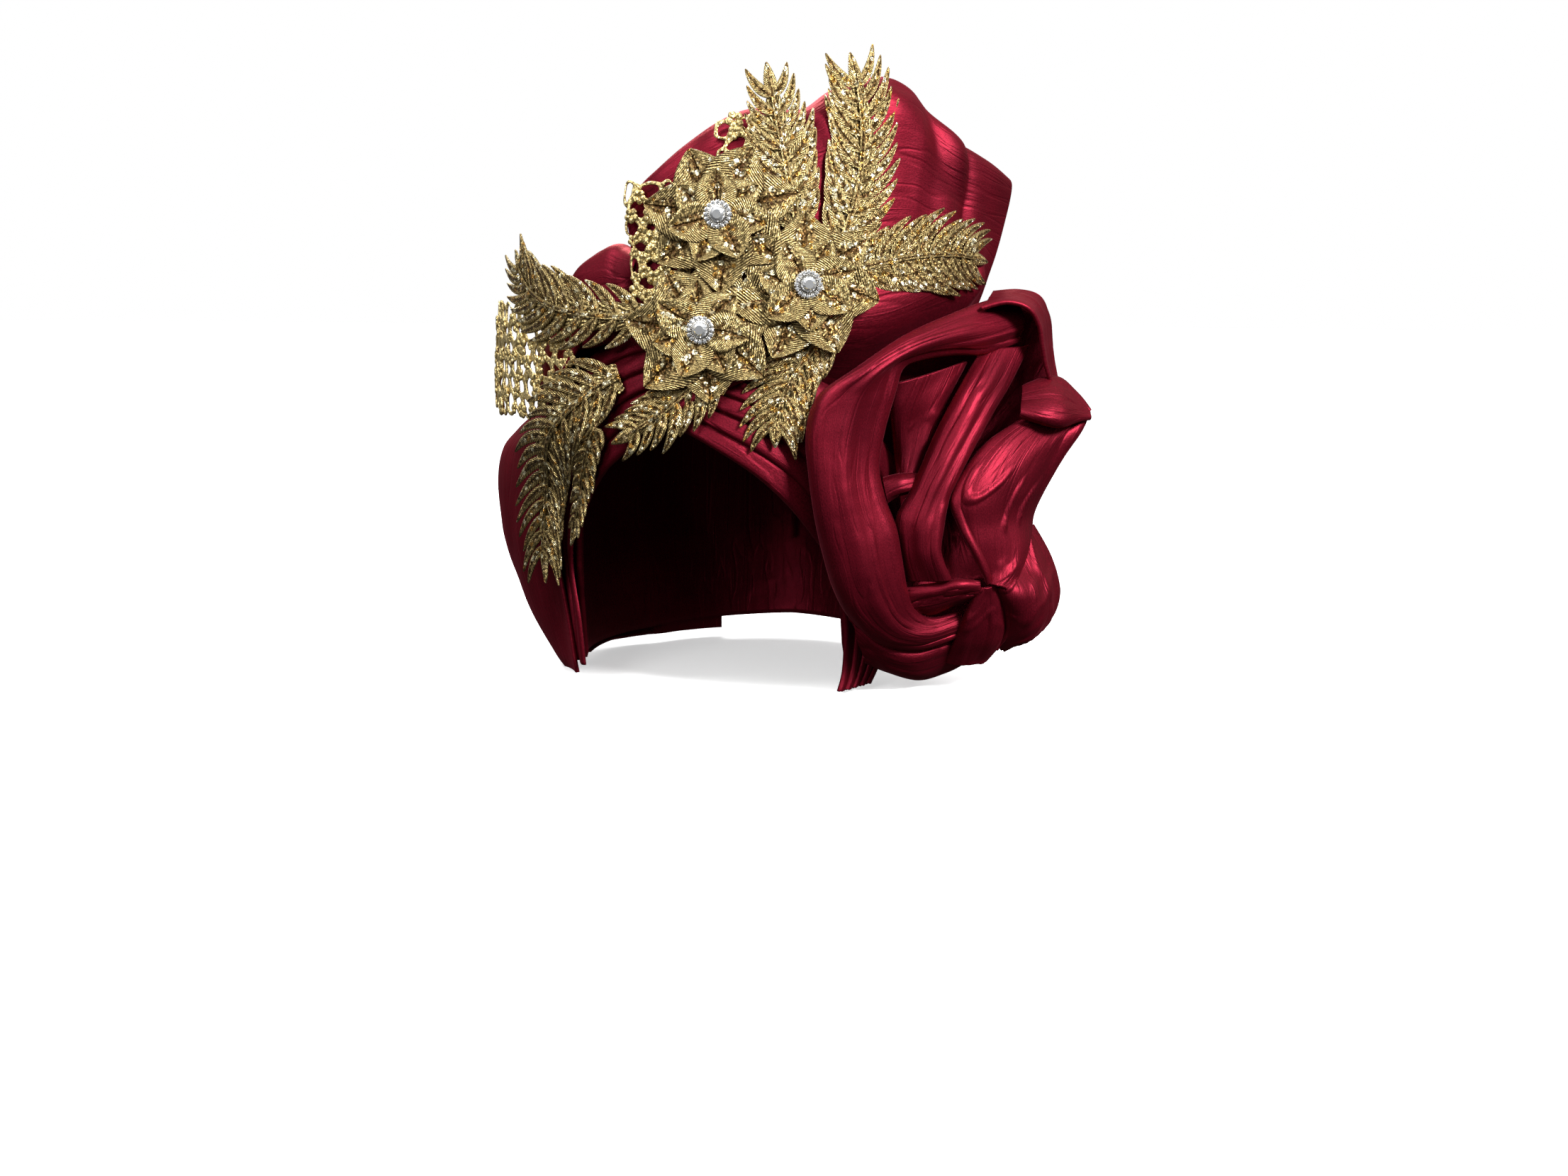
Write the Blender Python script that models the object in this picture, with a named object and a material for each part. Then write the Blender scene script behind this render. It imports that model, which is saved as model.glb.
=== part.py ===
"""A tied gele head tie: a hollow wrap of raw silk with two pleated bands over the forehead, a tall
standing fold, a rosette of turned cloth over one ear, and a spray of gold lace with three stones.

Metres, +Z up. The origin is the top of the wearer's crown, inside the cloth. The face looks to -Y.
"""
import bmesh
import bpy
from math import acos, cos, degrees, exp, floor, pi, radians, sin
from mathutils import Vector

# Head that the wrap fits
HEAD_HALF_WIDTH = 0.0745
HEAD_HALF_LENGTH = 0.094
HEAD_HEIGHT = 0.100
HEAD_POWER = 2.7
HEM_DROP = 0.155
NECK_TAPER = 0.05

# Walls of cloth and lace, and the gap that pieces keep
CAP_WALL = 0.0025
CLOTH_WALL = 0.0018
LACE_WALL = 0.0012
SEAT_GAP = 0.0005

# Cuts: which faces count as flat, and the solvers and wider gaps that are tried in turn. The exact
# solver fails on these walls, which fold over themselves: it leaves open edges or a split sheet.
FLAT_ANGLE = 2.5
CUT_TRIES = (("MANIFOLD", 1.0), ("EXACT", 1.0), ("MANIFOLD", 1.3), ("EXACT", 1.3))

# Bands: how far they stand off the head at their upper edges, and their pleats
BAND_STAND = 0.018
PLEAT_STEP = 0.0013
PLEATS = 5

# Full side of the wrap
SIDE_FULL = 0.037

# Upright cylinder that the standing fold and the lace follow. It meets the front of the head.
WRAP_SIDE = -0.003
WRAP_BACK = 0.028
WRAP_RADIUS = HEAD_HALF_LENGTH + WRAP_BACK
WRAP_LEAN = 0.15
BROW_DROP = 0.045
TEMPLE_DIP = 0.010

# Standing fold and the small lobe beside it
FAN_RISE = 0.102
FAN_DEEP = 0.030
LOBE_RISE = 0.032
LOBE_DEEP = 0.022

# Rosette: its centre, reach across, height and depth, seen a little from the wearer's left
VIEW_TURN = 15
ROSETTE_WIDTH = 0.120
ROSETTE_HEIGHT = 0.165
ROSETTE_DEPTH = 0.080
ROSETTE_SIDE = HEAD_HALF_WIDTH + 0.0135
ROSETTE_DROP = HEM_DROP / 2

# Lace
LEAF_HALF_WIDTH = 0.021
PETAL_REACH = 0.029
NET_CELL = 0.0105
NET_STRAND = 0.0011
STONE_RADIUS = 0.0062
STONE_HEIGHT = 0.0042
LACE_LIFT = 0.0012
FLOWER_LIFT = 0.0046

# Materials: colour, roughness, metallic
SILK = ("burgundy_silk", (0.11, 0.008, 0.016, 1), 0.45, 0.0)
GOLD_LACE = ("gold_lace", (0.45, 0.31, 0.09, 1), 0.4, 0.6)
RHINESTONE = ("rhinestone", (0.85, 0.86, 0.86, 1), 0.05, 0.2)


def clear_scene():
    for item in list(bpy.data.objects):
        bpy.data.objects.remove(item)


def material(kind):
    """Principled material from a (name, colour, roughness, metallic) row, made once."""
    name, colour, roughness, metallic = kind
    found = bpy.data.materials.get(name)
    if found:
        return found
    made = bpy.data.materials.new(name)
    made.use_nodes = True
    shader = made.node_tree.nodes["Principled BSDF"]
    shader.inputs["Base Color"].default_value = colour
    shader.inputs["Roughness"].default_value = roughness
    shader.inputs["Metallic"].default_value = metallic
    return made


def blend(a, b, share):
    return a + (b - a) * share


def ramp(value):
    """Smooth step from 0 to 1."""
    held = min(max(value, 0.0), 1.0)
    return held * held * (3 - 2 * held)


def between_rows(rows, place):
    """Row of a table at a place from 0 to 1, on a smooth curve through its rows."""
    span = place * (len(rows) - 1)
    index = min(int(floor(span)), len(rows) - 2)
    share = span - index
    start, end = rows[index], rows[index + 1]
    before = rows[index - 1] if index > 0 else start
    after = rows[index + 2] if index + 2 < len(rows) else end
    found = []
    for p0, p1, p2, p3 in zip(before, start, end, after):
        bend = (p2 - p0) * share
        bend += (2 * p0 - 5 * p1 + 4 * p2 - p3) * share ** 2
        bend += (3 * p1 - p0 - 3 * p2 + p3) * share ** 3
        found.append(p1 + bend / 2)
    return found


def on_line(rows, key):
    """Other columns of a table at a value of its first column, in straight runs."""
    if key <= rows[0][0]:
        return rows[0][1:]
    for start, end in zip(rows, rows[1:]):
        if key <= end[0]:
            share = (key - start[0]) / (end[0] - start[0])
            return tuple(blend(a, b, share) for a, b in zip(start[1:], end[1:]))
    return rows[-1][1:]


def head_point(bearing, polar, lift):
    """Point over the head by its angle from the crown top, lifted off the head."""
    side, down = radians(bearing), radians(polar)
    out = sin(down) ** (2 / HEAD_POWER)
    up = cos(down) ** (2 / HEAD_POWER)
    across = (HEAD_HALF_WIDTH + lift) * out * sin(side)
    back = -(HEAD_HALF_LENGTH + lift) * out * cos(side)
    return Vector((across, back, (HEAD_HEIGHT + lift) * up - HEAD_HEIGHT))


def head_level(bearing, drop, lift):
    """Point over the head by its drop below the crown top, as a share of HEM_DROP."""
    level = -drop * HEM_DROP
    rise = (level + HEAD_HEIGHT) / (HEAD_HEIGHT + lift)
    if rise > 0:
        out = max(1 - rise ** HEAD_POWER, 0.0) ** (1 / HEAD_POWER)
    else:
        out = 1 + NECK_TAPER * (level + HEAD_HEIGHT) / (HEM_DROP - HEAD_HEIGHT)
    side = radians(bearing)
    across = (HEAD_HALF_WIDTH + lift) * out * sin(side)
    back = -(HEAD_HALF_LENGTH + lift) * out * cos(side)
    return Vector((across, back, level))


def level_of(share):
    """Height over the crown top as a share of FAN_RISE, or below it as a share of HEM_DROP."""
    return share * (FAN_RISE if share > 0 else HEM_DROP)


def share_of(height):
    """Share that level_of turns into this height."""
    return height / (FAN_RISE if height > 0 else HEM_DROP)


def wrap_point(bearing, share, lift):
    """Point on the upright cylinder in front, leaning back above the brow, dipped at the temple."""
    height = level_of(share)
    lean = WRAP_LEAN * max(height + BROW_DROP, 0.0)
    dip = TEMPLE_DIP * exp(-((bearing + 34) / 14) ** 2) * ramp((-BROW_DROP - height) / BROW_DROP * 1.3)
    reach = WRAP_RADIUS + lift - dip
    side = radians(bearing)
    return Vector((WRAP_SIDE + reach * sin(side), WRAP_BACK - reach * cos(side) + lean, height))


def rosette_point(across, up, out):
    """Point of the rosette in shares of its width, height and depth, turned to face the viewer."""
    side = ROSETTE_SIDE + across * ROSETTE_WIDTH
    away = -out * ROSETTE_DEPTH
    turn = radians(VIEW_TURN)
    return Vector((side * cos(turn) - away * sin(turn),
                   side * sin(turn) + away * cos(turn),
                   up * ROSETTE_HEIGHT - ROSETTE_DROP))


def grown(points, gap):
    """Grid of points with its free edges moved outwards by a gap. A seam or a pole stays."""
    wide = [list(row) for row in points]
    if (wide[-1][0] - wide[-1][-1]).length > gap:
        for row in wide:
            first, last = row[0], row[-1]
            row[0] = first + (first - row[1]).normalized() * gap
            row[-1] = last + (last - row[-2]).normalized() * gap
    top = [a + (a - b).normalized() * gap for a, b in zip(wide[0], wide[1])]
    end = [a + (a - b).normalized() * gap for a, b in zip(wide[-1], wide[-2])]
    if (wide[0][0] - wide[0][len(wide[0]) // 2]).length > gap:
        wide[0] = top
    wide[-1] = end
    return wide


def grid_mesh(name, points):
    """Mesh of a grid of points. Rows that close on themselves or shrink to a pole are merged."""
    form = bmesh.new()
    across = len(points[0]) - 1
    bmesh.ops.create_grid(form, x_segments=across, y_segments=len(points) - 1, size=1)
    form.verts.ensure_lookup_table()
    flat = [point for row in points for point in row]
    for vert, place in zip(form.verts, flat):
        vert.co = place
    bmesh.ops.remove_doubles(form, verts=form.verts, dist=0.000001)
    mesh = bpy.data.meshes.new(name)
    form.to_mesh(mesh)
    form.free()
    return mesh


def add_wall(piece, wall):
    skin = piece.modifiers.new("Wall", "SOLIDIFY")
    skin.thickness = wall
    skin.offset = 0
    skin.use_even_offset = False


def new_object(name, mesh):
    piece = bpy.data.objects.new(name, mesh)
    bpy.context.scene.collection.objects.link(piece)
    return piece


def solids_of(form):
    """Groups of faces that hang together."""
    unseen = set(form.faces)
    groups = []
    while unseen:
        seed = unseen.pop()
        group = {seed}
        front = [seed]
        while front:
            face = front.pop()
            near = {other for edge in face.edges for other in edge.link_faces}
            fresh = near & unseen
            unseen -= fresh
            group |= fresh
            front.extend(fresh)
        groups.append(group)
    return groups


def is_closed(form):
    return bool(form.faces) and all(edge.is_manifold for edge in form.edges)


def applied(piece):
    """Mesh of a piece with its modifiers, left with only the largest solid in it."""
    graph = bpy.context.evaluated_depsgraph_get()
    mesh = bpy.data.meshes.new_from_object(piece.evaluated_get(graph))
    form = bmesh.new()
    form.from_mesh(mesh)
    groups = solids_of(form)
    largest = max(groups, key=lambda group: sum(face.calc_area() for face in group), default=set())
    scraps = [face for group in groups if group is not largest for face in group]
    bmesh.ops.delete(form, geom=scraps, context="FACES")
    closed = is_closed(form)
    form.to_mesh(mesh)
    form.free()
    return mesh, closed


def simplified(mesh):
    """Merge faces that lie flat together, where that keeps the solid closed."""
    form = bmesh.new()
    form.from_mesh(mesh)
    bmesh.ops.dissolve_limit(form, angle_limit=radians(FLAT_ANGLE), verts=form.verts, edges=form.edges)
    if is_closed(form) and len(solids_of(form)) == 1:
        form.to_mesh(mesh)
    form.free()


class Assembly:
    """Keeps each sheet's grid, so that a later piece can be cut clear of it."""

    def __init__(self):
        self.sheets = {}

    def box(self, flat, gap):
        low = Vector([min(point[axis] for point in flat) - gap for axis in range(3)])
        high = Vector([max(point[axis] for point in flat) + gap for axis in range(3)])
        return low, high

    def meets(self, mesh, other):
        points, wall = self.sheets[other]
        low, high = self.box([vert.co for vert in mesh.vertices], SEAT_GAP)
        low_other, high_other = self.box([point for row in points for point in row], wall)
        return all(low[axis] < high_other[axis] and low_other[axis] < high[axis] for axis in range(3))

    def lay(self, name, mesh, wall, kind):
        """Closed sheet of one wall on a surface, cut clear of the sheets laid before it."""
        piece = new_object(name, mesh)
        piece.data.materials.append(material(kind))
        add_wall(piece, wall)
        piece.data = applied(piece)[0]
        piece.modifiers.clear()
        for carrier in self.sheets:
            if self.meets(piece.data, carrier):
                self.cut_clear(piece, carrier)
        simplified(piece.data)

    def sheet(self, name, points, wall, kind):
        """Sheet through a grid of points, kept so that later ones are cut clear of it."""
        self.lay(name, grid_mesh(name, points), wall, kind)
        self.sheets[name] = (points, wall)

    def cut_clear(self, piece, carrier):
        """Cut a piece clear of a sheet. A cut that stays open is tried again a little wider."""
        for solver, widening in CUT_TRIES:
            cutter = self.cutter(carrier, SEAT_GAP * widening)
            cut = piece.modifiers.new("Clear of " + carrier, "BOOLEAN")
            cut.operation = "DIFFERENCE"
            cut.solver = solver
            cut.object = cutter
            mesh, closed = applied(piece)
            piece.modifiers.clear()
            bpy.data.objects.remove(cutter)
            if closed:
                piece.data = mesh
                return
        print(piece.name, "is not cut clear of", carrier)

    def cutter(self, name, gap):
        points, wall = self.sheets[name]
        cutter = new_object("cutter", grid_mesh("cutter", grown(points, gap)))
        add_wall(cutter, wall + 2 * gap)
        cutter.hide_render = True
        cutter.display_type = "WIRE"
        return cutter


# Hem of the cap: bearing in degrees, drop as a share of HEM_DROP
CAP_HEM = [
    (-180, 0.97),
    (-120, 0.99),
    (-60, 0.99),
    (-56, 0.97),
    (-54, 0.70),
    (-51, 0.60),
    (-40, 0.48),
    (-28, 0.38),
    (-14, 0.29),
    (0, 0.27),
    (12, 0.32),
    (24, 0.395),
    (36, 0.49),
    (46, 0.61),
    (53, 0.72),
    (57, 0.97),
    (62, 0.99),
    (120, 0.99),
    (180, 0.97),
]
CAP_ROWS = 7
CAP_BACK_FOLD = 0.0022
CAP_BACK_FOLDS = 9


def cap_point(bearing, share):
    """Point of the cap's middle layer from the crown top, 0, to the hem, 1."""
    drop = on_line(CAP_HEM, bearing)[0]
    level = -drop * HEM_DROP
    rise = (level + HEAD_HEIGHT) / HEAD_HEIGHT
    if rise > 0:
        reach = degrees(acos(min(rise ** (HEAD_POWER / 2), 1.0))) / 90
    else:
        reach = 1 - rise * HEAD_HEIGHT / (HEM_DROP - HEAD_HEIGHT)
    at = reach * share
    behind = ramp((abs(bearing) - 90) / 50) * sin(pi * share)
    fold = CAP_BACK_FOLD * behind * (0.5 - 0.5 * cos(radians(bearing) * CAP_BACK_FOLDS))
    lift = CAP_WALL / 2 + fold
    if at <= 1:
        return head_point(bearing, 90 * at, lift)
    dropped = (HEAD_HEIGHT + (at - 1) * (HEM_DROP - HEAD_HEIGHT)) / HEM_DROP
    return head_level(bearing, dropped, lift)


def make_cap(parts):
    bearings = [row[0] for row in CAP_HEM]
    bearings += [-160, -140, -105, -90, -75, 75, 90, 105, 140, 160]
    bearings.sort()
    rows = []
    for step in range(CAP_ROWS + 1):
        rows.append([cap_point(bearing, step / CAP_ROWS) for bearing in bearings])
    parts.sheet("crown_wrap", rows, CAP_WALL, SILK)


# Bands: lower edge's bearing, drop and lift, then the same for the upper edge.
# Drops are shares of HEM_DROP and lifts are shares of BAND_STAND.
BAND_LEFT = [
    (-47, 0.99, 0.24, -80, 0.97, 0.40),
    (-48, 0.85, 0.24, -80, 0.80, 0.45),
    (-52, 0.70, 0.24, -78, 0.60, 0.60),
    (-46, 0.58, 0.24, -68, 0.41, 0.80),
    (-40, 0.51, 0.25, -60, 0.30, 0.85),
    (-31, 0.43, 0.27, -50, 0.19, 0.90),
    (-22, 0.37, 0.30, -40, 0.10, 0.92),
    (-14, 0.32, 0.34, -30, 0.05, 0.94),
    (-7, 0.28, 0.40, -20, 0.03, 0.96),
    (3, 0.22, 0.60, -10, 0.03, 1.02),
    (10, 0.19, 0.70, 0, 0.02, 1.10),
    (18, 0.16, 0.80, 9, 0.00, 1.15),
    (26, 0.13, 0.90, 20, -0.01, 1.25),
    (36, 0.10, 1.05, 33, -0.02, 1.35),
]
BAND_RIGHT = [
    (-16, 0.26, 0.22, -8, 0.10, 0.55),
    (-7, 0.28, 0.22, 4, 0.10, 0.70),
    (2, 0.30, 0.22, 14, 0.10, 0.76),
    (13, 0.35, 0.22, 26, 0.12, 0.80),
    (24, 0.415, 0.22, 38, 0.15, 0.80),
    (34, 0.50, 0.22, 50, 0.20, 0.80),
    (44, 0.615, 0.22, 65, 0.34, 0.70),
    (49, 0.685, 0.22, 71, 0.44, 0.60),
    (52, 0.77, 0.22, 75, 0.56, 0.50),
    (54, 0.87, 0.22, 76, 0.70, 0.42),
    (54, 0.98, 0.24, 72, 0.93, 0.38),
    (52, 1.04, 0.28, 66, 1.03, 0.36),
]
BAND_STEPS = 16


def band_point(row, share):
    """Point across a band's row, with its pleats stepped like shingles, the upper one on top."""
    low_bearing, low_drop, low_lift, high_bearing, high_drop, high_lift = row
    bearing = blend(low_bearing, high_bearing, share)
    drop = blend(low_drop, high_drop, share)
    lift = BAND_STAND * blend(low_lift, high_lift, share)
    across = share * PLEATS % 1.0 if share < 1 else 1.0
    return head_level(bearing, drop, lift + PLEAT_STEP * (1 - across))


def pleat_shares():
    """Places across a band: each pleat's folded edge and the foot of the one over it."""
    fold = 0.06 / PLEATS
    shares = []
    for pleat in range(PLEATS):
        shares.append(pleat / PLEATS)
        shares.append((pleat + 1) / PLEATS - fold)
    shares.append(0.9999)
    return shares


def make_band(parts, name, table):
    rows = []
    for step in range(BAND_STEPS + 1):
        row = between_rows(table, step / BAND_STEPS)
        rows.append([band_point(row, share) for share in pleat_shares()])
    parts.sheet(name, rows, CLOTH_WALL, SILK)


# Full side: drop, front bearing, front lift, side lift, and layers of cloth that lie under it at the
# back. Drops are shares of HEM_DROP, lifts of SIDE_FULL.
SIDE_ROWS = [
    (0.03, -34, 0.10, 0.10, 0.0),
    (-0.02, -33, 0.48, 0.50, 0.0),
    (-0.035, -34, 0.73, 0.88, 1.5),
    (0.06, -38, 0.70, 0.90, 1.8),
    (0.19, -46, 0.63, 0.78, 1.2),
    (0.27, -55, 0.52, 0.76, 0.5),
    (0.33, -57, 0.48, 0.98, 0.0),
    (0.39, -58, 0.42, 1.18, 0.0),
    (0.48, -58, 0.36, 1.25, 0.0),
    (0.59, -57, 0.32, 1.20, 0.0),
    (0.73, -56, 0.28, 1.08, 0.0),
    (0.87, -54, 0.24, 0.80, 0.0),
    (0.98, -52, 0.22, 0.42, 0.0),
    (1.02, -52, 0.20, 0.24, 0.0),
]
SIDE_STEPS = 13
SIDE_ACROSS = 8
SIDE_RISE_ANGLE = 30
SIDE_BACK = -152
SIDE_FALL_ANGLE = 48
SIDE_SLACK = 0.0035
SIDE_SEAT = CAP_WALL + CAP_BACK_FOLD + CLOTH_WALL / 2 + SEAT_GAP


def side_point(row, share):
    drop, front, front_lift, side_lift, layers = row
    bearing = blend(front, SIDE_BACK, share ** 1.15)
    rise = ramp((front - bearing) / SIDE_RISE_ANGLE)
    fall = ramp((bearing - SIDE_BACK) / SIDE_FALL_ANGLE)
    lift = SIDE_FULL * blend(front_lift, side_lift, rise) * fall
    slack = SIDE_SLACK * rise * fall * sin(radians(bearing * 7 + drop * 160))
    seat = SIDE_SEAT + layers * (CLOTH_WALL + SEAT_GAP)
    return head_level(bearing, drop, max(lift + slack, seat))


def make_side(parts):
    rows = []
    for step in range(SIDE_STEPS + 1):
        row = between_rows(SIDE_ROWS, step / SIDE_STEPS)
        rows.append([side_point(row, column / SIDE_ACROSS) for column in range(SIDE_ACROSS + 1)])
    parts.sheet("side_drape", rows, CLOTH_WALL, SILK)


# Standing fold: bearing, height as a share of FAN_RISE, fullness as a share of FAN_DEEP, flare of
# the front as a share of FAN_DEEP, angle of the back foot from the crown top
FAN_ROWS = [
    (-13, 0.46, 0.20, 0.00, 52),
    (-11, 0.56, 0.30, 0.00, 47),
    (-7, 0.64, 0.40, 0.02, 40),
    (-2, 0.73, 0.55, 0.00, 32),
    (5, 0.82, 0.70, 0.03, 28),
    (12, 0.87, 0.75, 0.00, 25),
    (19, 0.86, 0.75, -0.03, 23),
    (25, 0.86, 0.75, 0.03, 22),
    (32, 0.94, 0.80, 0.00, 22),
    (41, 0.99, 0.80, 0.04, 23),
    (48, 0.96, 0.75, -0.02, 26),
    (54, 0.87, 0.65, -0.08, 29),
    (61, 0.78, 0.55, 0.02, 36),
    (68, 0.72, 0.45, -0.10, 43),
    (75, 0.66, 0.35, 0.02, 51),
    (82, 0.60, 0.20, 0.06, 60),
]
FAN_STEPS = 15
FAN_FOOT = 0.16
FAN_FOOT_STAND = 0.0035
FAN_ROLL = 3
FOLD_SHUT = 0.88
# How far the foot and the three points over it are shut at an end. The tall fold stays more open at
# its far end, which hangs free.
SHUT_PARTS = (1.0, 0.9, 0.75, 0.4)
FAN_SHUT_PARTS = (1.0, 0.55, 0.35, 0.2)


def fold_section(bearing, height, full, flare, foot, end, base, shut, parts=SHUT_PARTS):
    """Section of a standing fold: from its foot up the front, over a soft roll, down to its end.

    At an end of the fold the front is shut against the back.
    """
    top = level_of(height)
    roll = full / 2
    front = [foot]
    for share in (0.0, 0.35, 0.7):
        rise = share_of(blend(base * FAN_RISE, top - roll, share))
        front.append(wrap_point(bearing, rise, -LACE_LIFT - CLOTH_WALL + flare * share))
    over = []
    for step in range(FAN_ROLL + 1):
        angle = pi * step / FAN_ROLL
        rise = (top - roll * (1 - sin(angle))) / FAN_RISE
        over.append(wrap_point(bearing, rise, flare - LACE_LIFT - CLOTH_WALL - roll * (1 - cos(angle))))
    back = []
    for share in (0.35, 0.7, 1.0):
        point = over[-1].lerp(end, share)
        point.z -= 0.12 * (over[-1].z - end.z) * sin(pi * share)
        back.append(point)
    opposite = [back[2], back[1], back[0], over[-1]]
    closing = [point.lerp(other, shut * part) for point, other, part in zip(front, opposite, parts)]
    return closing + over + back


def shut_share(step, steps):
    """How far a fold is shut at a step along it: at its two ends only."""
    return FOLD_SHUT * max(ramp(1 - step / 2), ramp(1 - (steps - step) / 2))


def make_fan(parts):
    columns = []
    for step in range(FAN_STEPS + 1):
        bearing, height, full, flare, polar = between_rows(FAN_ROWS, step / FAN_STEPS)
        base = blend(-0.03, 0.10, ramp((bearing - 35) / 30))
        foot_lift = CAP_WALL + FAN_FOOT_STAND * ramp((50 - bearing) / 60)
        foot = head_level(bearing * 1.12, FAN_FOOT + 0.10 * ramp((bearing - 30) / 40), foot_lift)
        end = head_point(bearing * 1.18, polar, CAP_WALL)
        columns.append(fold_section(bearing, height, FAN_DEEP * full, FAN_DEEP * flare, foot, end, base,
                                    shut_share(step, FAN_STEPS), FAN_SHUT_PARTS if bearing > 35 else SHUT_PARTS))
    parts.sheet("top_fan", columns, CLOTH_WALL, SILK)


# Small lobe: bearing, height as a share of LOBE_RISE, fullness as a share of LOBE_DEEP, and drop of
# the front's hem as a share of HEM_DROP
LOBE_ROWS = [
    (-31, 0.50, 0.30, 0.085),
    (-28, 0.72, 0.45, 0.080),
    (-24, 0.90, 0.70, 0.070),
    (-20, 1.02, 0.85, 0.060),
    (-17, 0.96, 0.80, 0.050),
    (-14, 0.88, 0.60, 0.045),
    (-12, 0.82, 0.40, 0.040),
]
LOBE_STEPS = 7
LOBE_INSET = 0.004
LOBE_BACK_POLAR = 22
LOBE_HEM = 0.006


def make_lobe(parts):
    columns = []
    for step in range(LOBE_STEPS + 1):
        bearing, height, full, drop = between_rows(LOBE_ROWS, step / LOBE_STEPS)
        top = height * LOBE_RISE / FAN_RISE
        foot = wrap_point(bearing, -drop, -LOBE_HEM)
        end = head_point(bearing * 0.6, LOBE_BACK_POLAR, CAP_WALL + SEAT_GAP)
        base = -drop * HEM_DROP / FAN_RISE
        columns.append(fold_section(bearing, top, LOBE_DEEP * full, -LOBE_INSET, foot, end, base,
                                    shut_share(step, LOBE_STEPS)))
    parts.sheet("small_lobe", columns, CLOTH_WALL, SILK)


# Rim of the rosette's gathered back, anticlockwise: across, up and out as shares of its width,
# height and depth
ROSETTE_RIM = [
    (-0.44, 0.18, 1.08),
    (-0.44, 0.02, 1.10),
    (-0.42, -0.12, 1.06),
    (-0.34, -0.28, 0.96),
    (-0.20, -0.42, 0.76),
    (0.00, -0.45, 0.60),
    (0.22, -0.39, 0.52),
    (0.40, -0.31, 0.38),
    (0.41, -0.19, 0.36),
    (0.32, -0.06, 0.44),
    (0.40, 0.05, 0.44),
    (0.50, 0.20, 0.34),
    (0.43, 0.33, 0.26),
    (0.41, 0.45, 0.20),
    (0.28, 0.505, 0.27),
    (0.08, 0.46, 0.54),
    (-0.12, 0.40, 0.84),
    (-0.32, 0.31, 1.02),
    (-0.44, 0.18, 1.08),
]
ROSETTE_WELL = (0.02, 0.00, 0.16)
ROSETTE_RINGS = 4


def make_rosette_back(parts):
    well = ROSETTE_WELL
    rings = []
    for ring in range(ROSETTE_RINGS + 1):
        reach = ring / ROSETTE_RINGS
        row = []
        for rim in ROSETTE_RIM:
            across = blend(well[0], rim[0], reach)
            up = blend(well[1], rim[1], reach)
            out = blend(well[2], rim[2], reach ** 1.7)
            row.append(rosette_point(across, up, out))
        rings.append(row)
    parts.sheet("rosette_back", rings, CLOTH_WALL, SILK)


# Turns of the rosette. Each row gives one edge and then the other as across, up and out shares,
# and how far the cloth swells between them as a share of ROSETTE_DEPTH.
OUTER_TURN = [
    (0.31, 0.53, 0.36, 0.30, 0.41, 0.46, 0.04),
    (0.18, 0.52, 0.52, 0.16, 0.38, 0.62, 0.10),
    (0.03, 0.485, 0.74, 0.04, 0.38, 0.76, 0.12),
    (-0.15, 0.43, 0.98, -0.08, 0.37, 0.90, 0.12),
    (-0.32, 0.35, 1.14, -0.15, 0.35, 0.98, 0.12),
    (-0.45, 0.28, 1.18, -0.18, 0.29, 1.02, 0.12),
    (-0.49, 0.19, 1.18, -0.22, 0.19, 1.04, 0.14),
    (-0.48, 0.08, 1.18, -0.24, 0.10, 1.06, 0.15),
    (-0.46, -0.02, 1.17, -0.22, 0.02, 1.08, 0.15),
    (-0.43, -0.12, 1.14, -0.18, -0.06, 1.08, 0.15),
    (-0.39, -0.22, 1.10, -0.16, -0.14, 1.06, 0.15),
    (-0.33, -0.30, 1.04, -0.14, -0.22, 1.02, 0.14),
    (-0.22, -0.37, 0.98, -0.11, -0.28, 0.97, 0.10),
    (-0.08, -0.39, 0.92, -0.04, -0.31, 0.90, 0.07),
    (0.08, -0.36, 0.84, 0.06, -0.30, 0.82, 0.03),
]
INNER_TURN = [
    (-0.17, 0.31, 0.90, 0.09, 0.36, 0.62, 0.03),
    (-0.19, 0.24, 0.86, 0.03, 0.28, 0.68, 0.06),
    (-0.18, 0.17, 0.80, -0.03, 0.19, 0.74, 0.06),
    (-0.17, 0.10, 0.78, -0.08, 0.09, 0.80, 0.05),
    (-0.16, 0.05, 0.845, -0.11, 0.04, 0.88, 0.02),
]
SASH = [
    (0.14, 0.38, 0.60, 0.33, 0.40, 0.42, 0.02),
    (0.08, 0.31, 0.72, 0.25, 0.30, 0.58, 0.07),
    (0.03, 0.25, 0.80, 0.19, 0.24, 0.70, 0.08),
    (-0.03, 0.17, 0.86, 0.12, 0.16, 0.82, 0.08),
    (-0.08, 0.09, 0.92, 0.05, 0.07, 0.92, 0.08),
    (-0.12, 0.03, 0.96, 0.01, 0.01, 0.97, 0.08),
    (-0.17, -0.04, 1.00, -0.01, -0.06, 1.02, 0.07),
    (-0.16, -0.12, 1.00, -0.02, -0.13, 1.04, 0.05),
    (-0.13, -0.205, 0.97, 0.02, -0.20, 1.00, 0.03),
]
HEART = [
    (-0.22, 0.06, 0.92, -0.21, 0.00, 0.96, 0.04),
    (-0.16, 0.07, 0.91, -0.16, 0.02, 0.93, 0.06),
    (-0.09, 0.07, 0.88, -0.10, 0.03, 0.91, 0.04),
]
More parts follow.
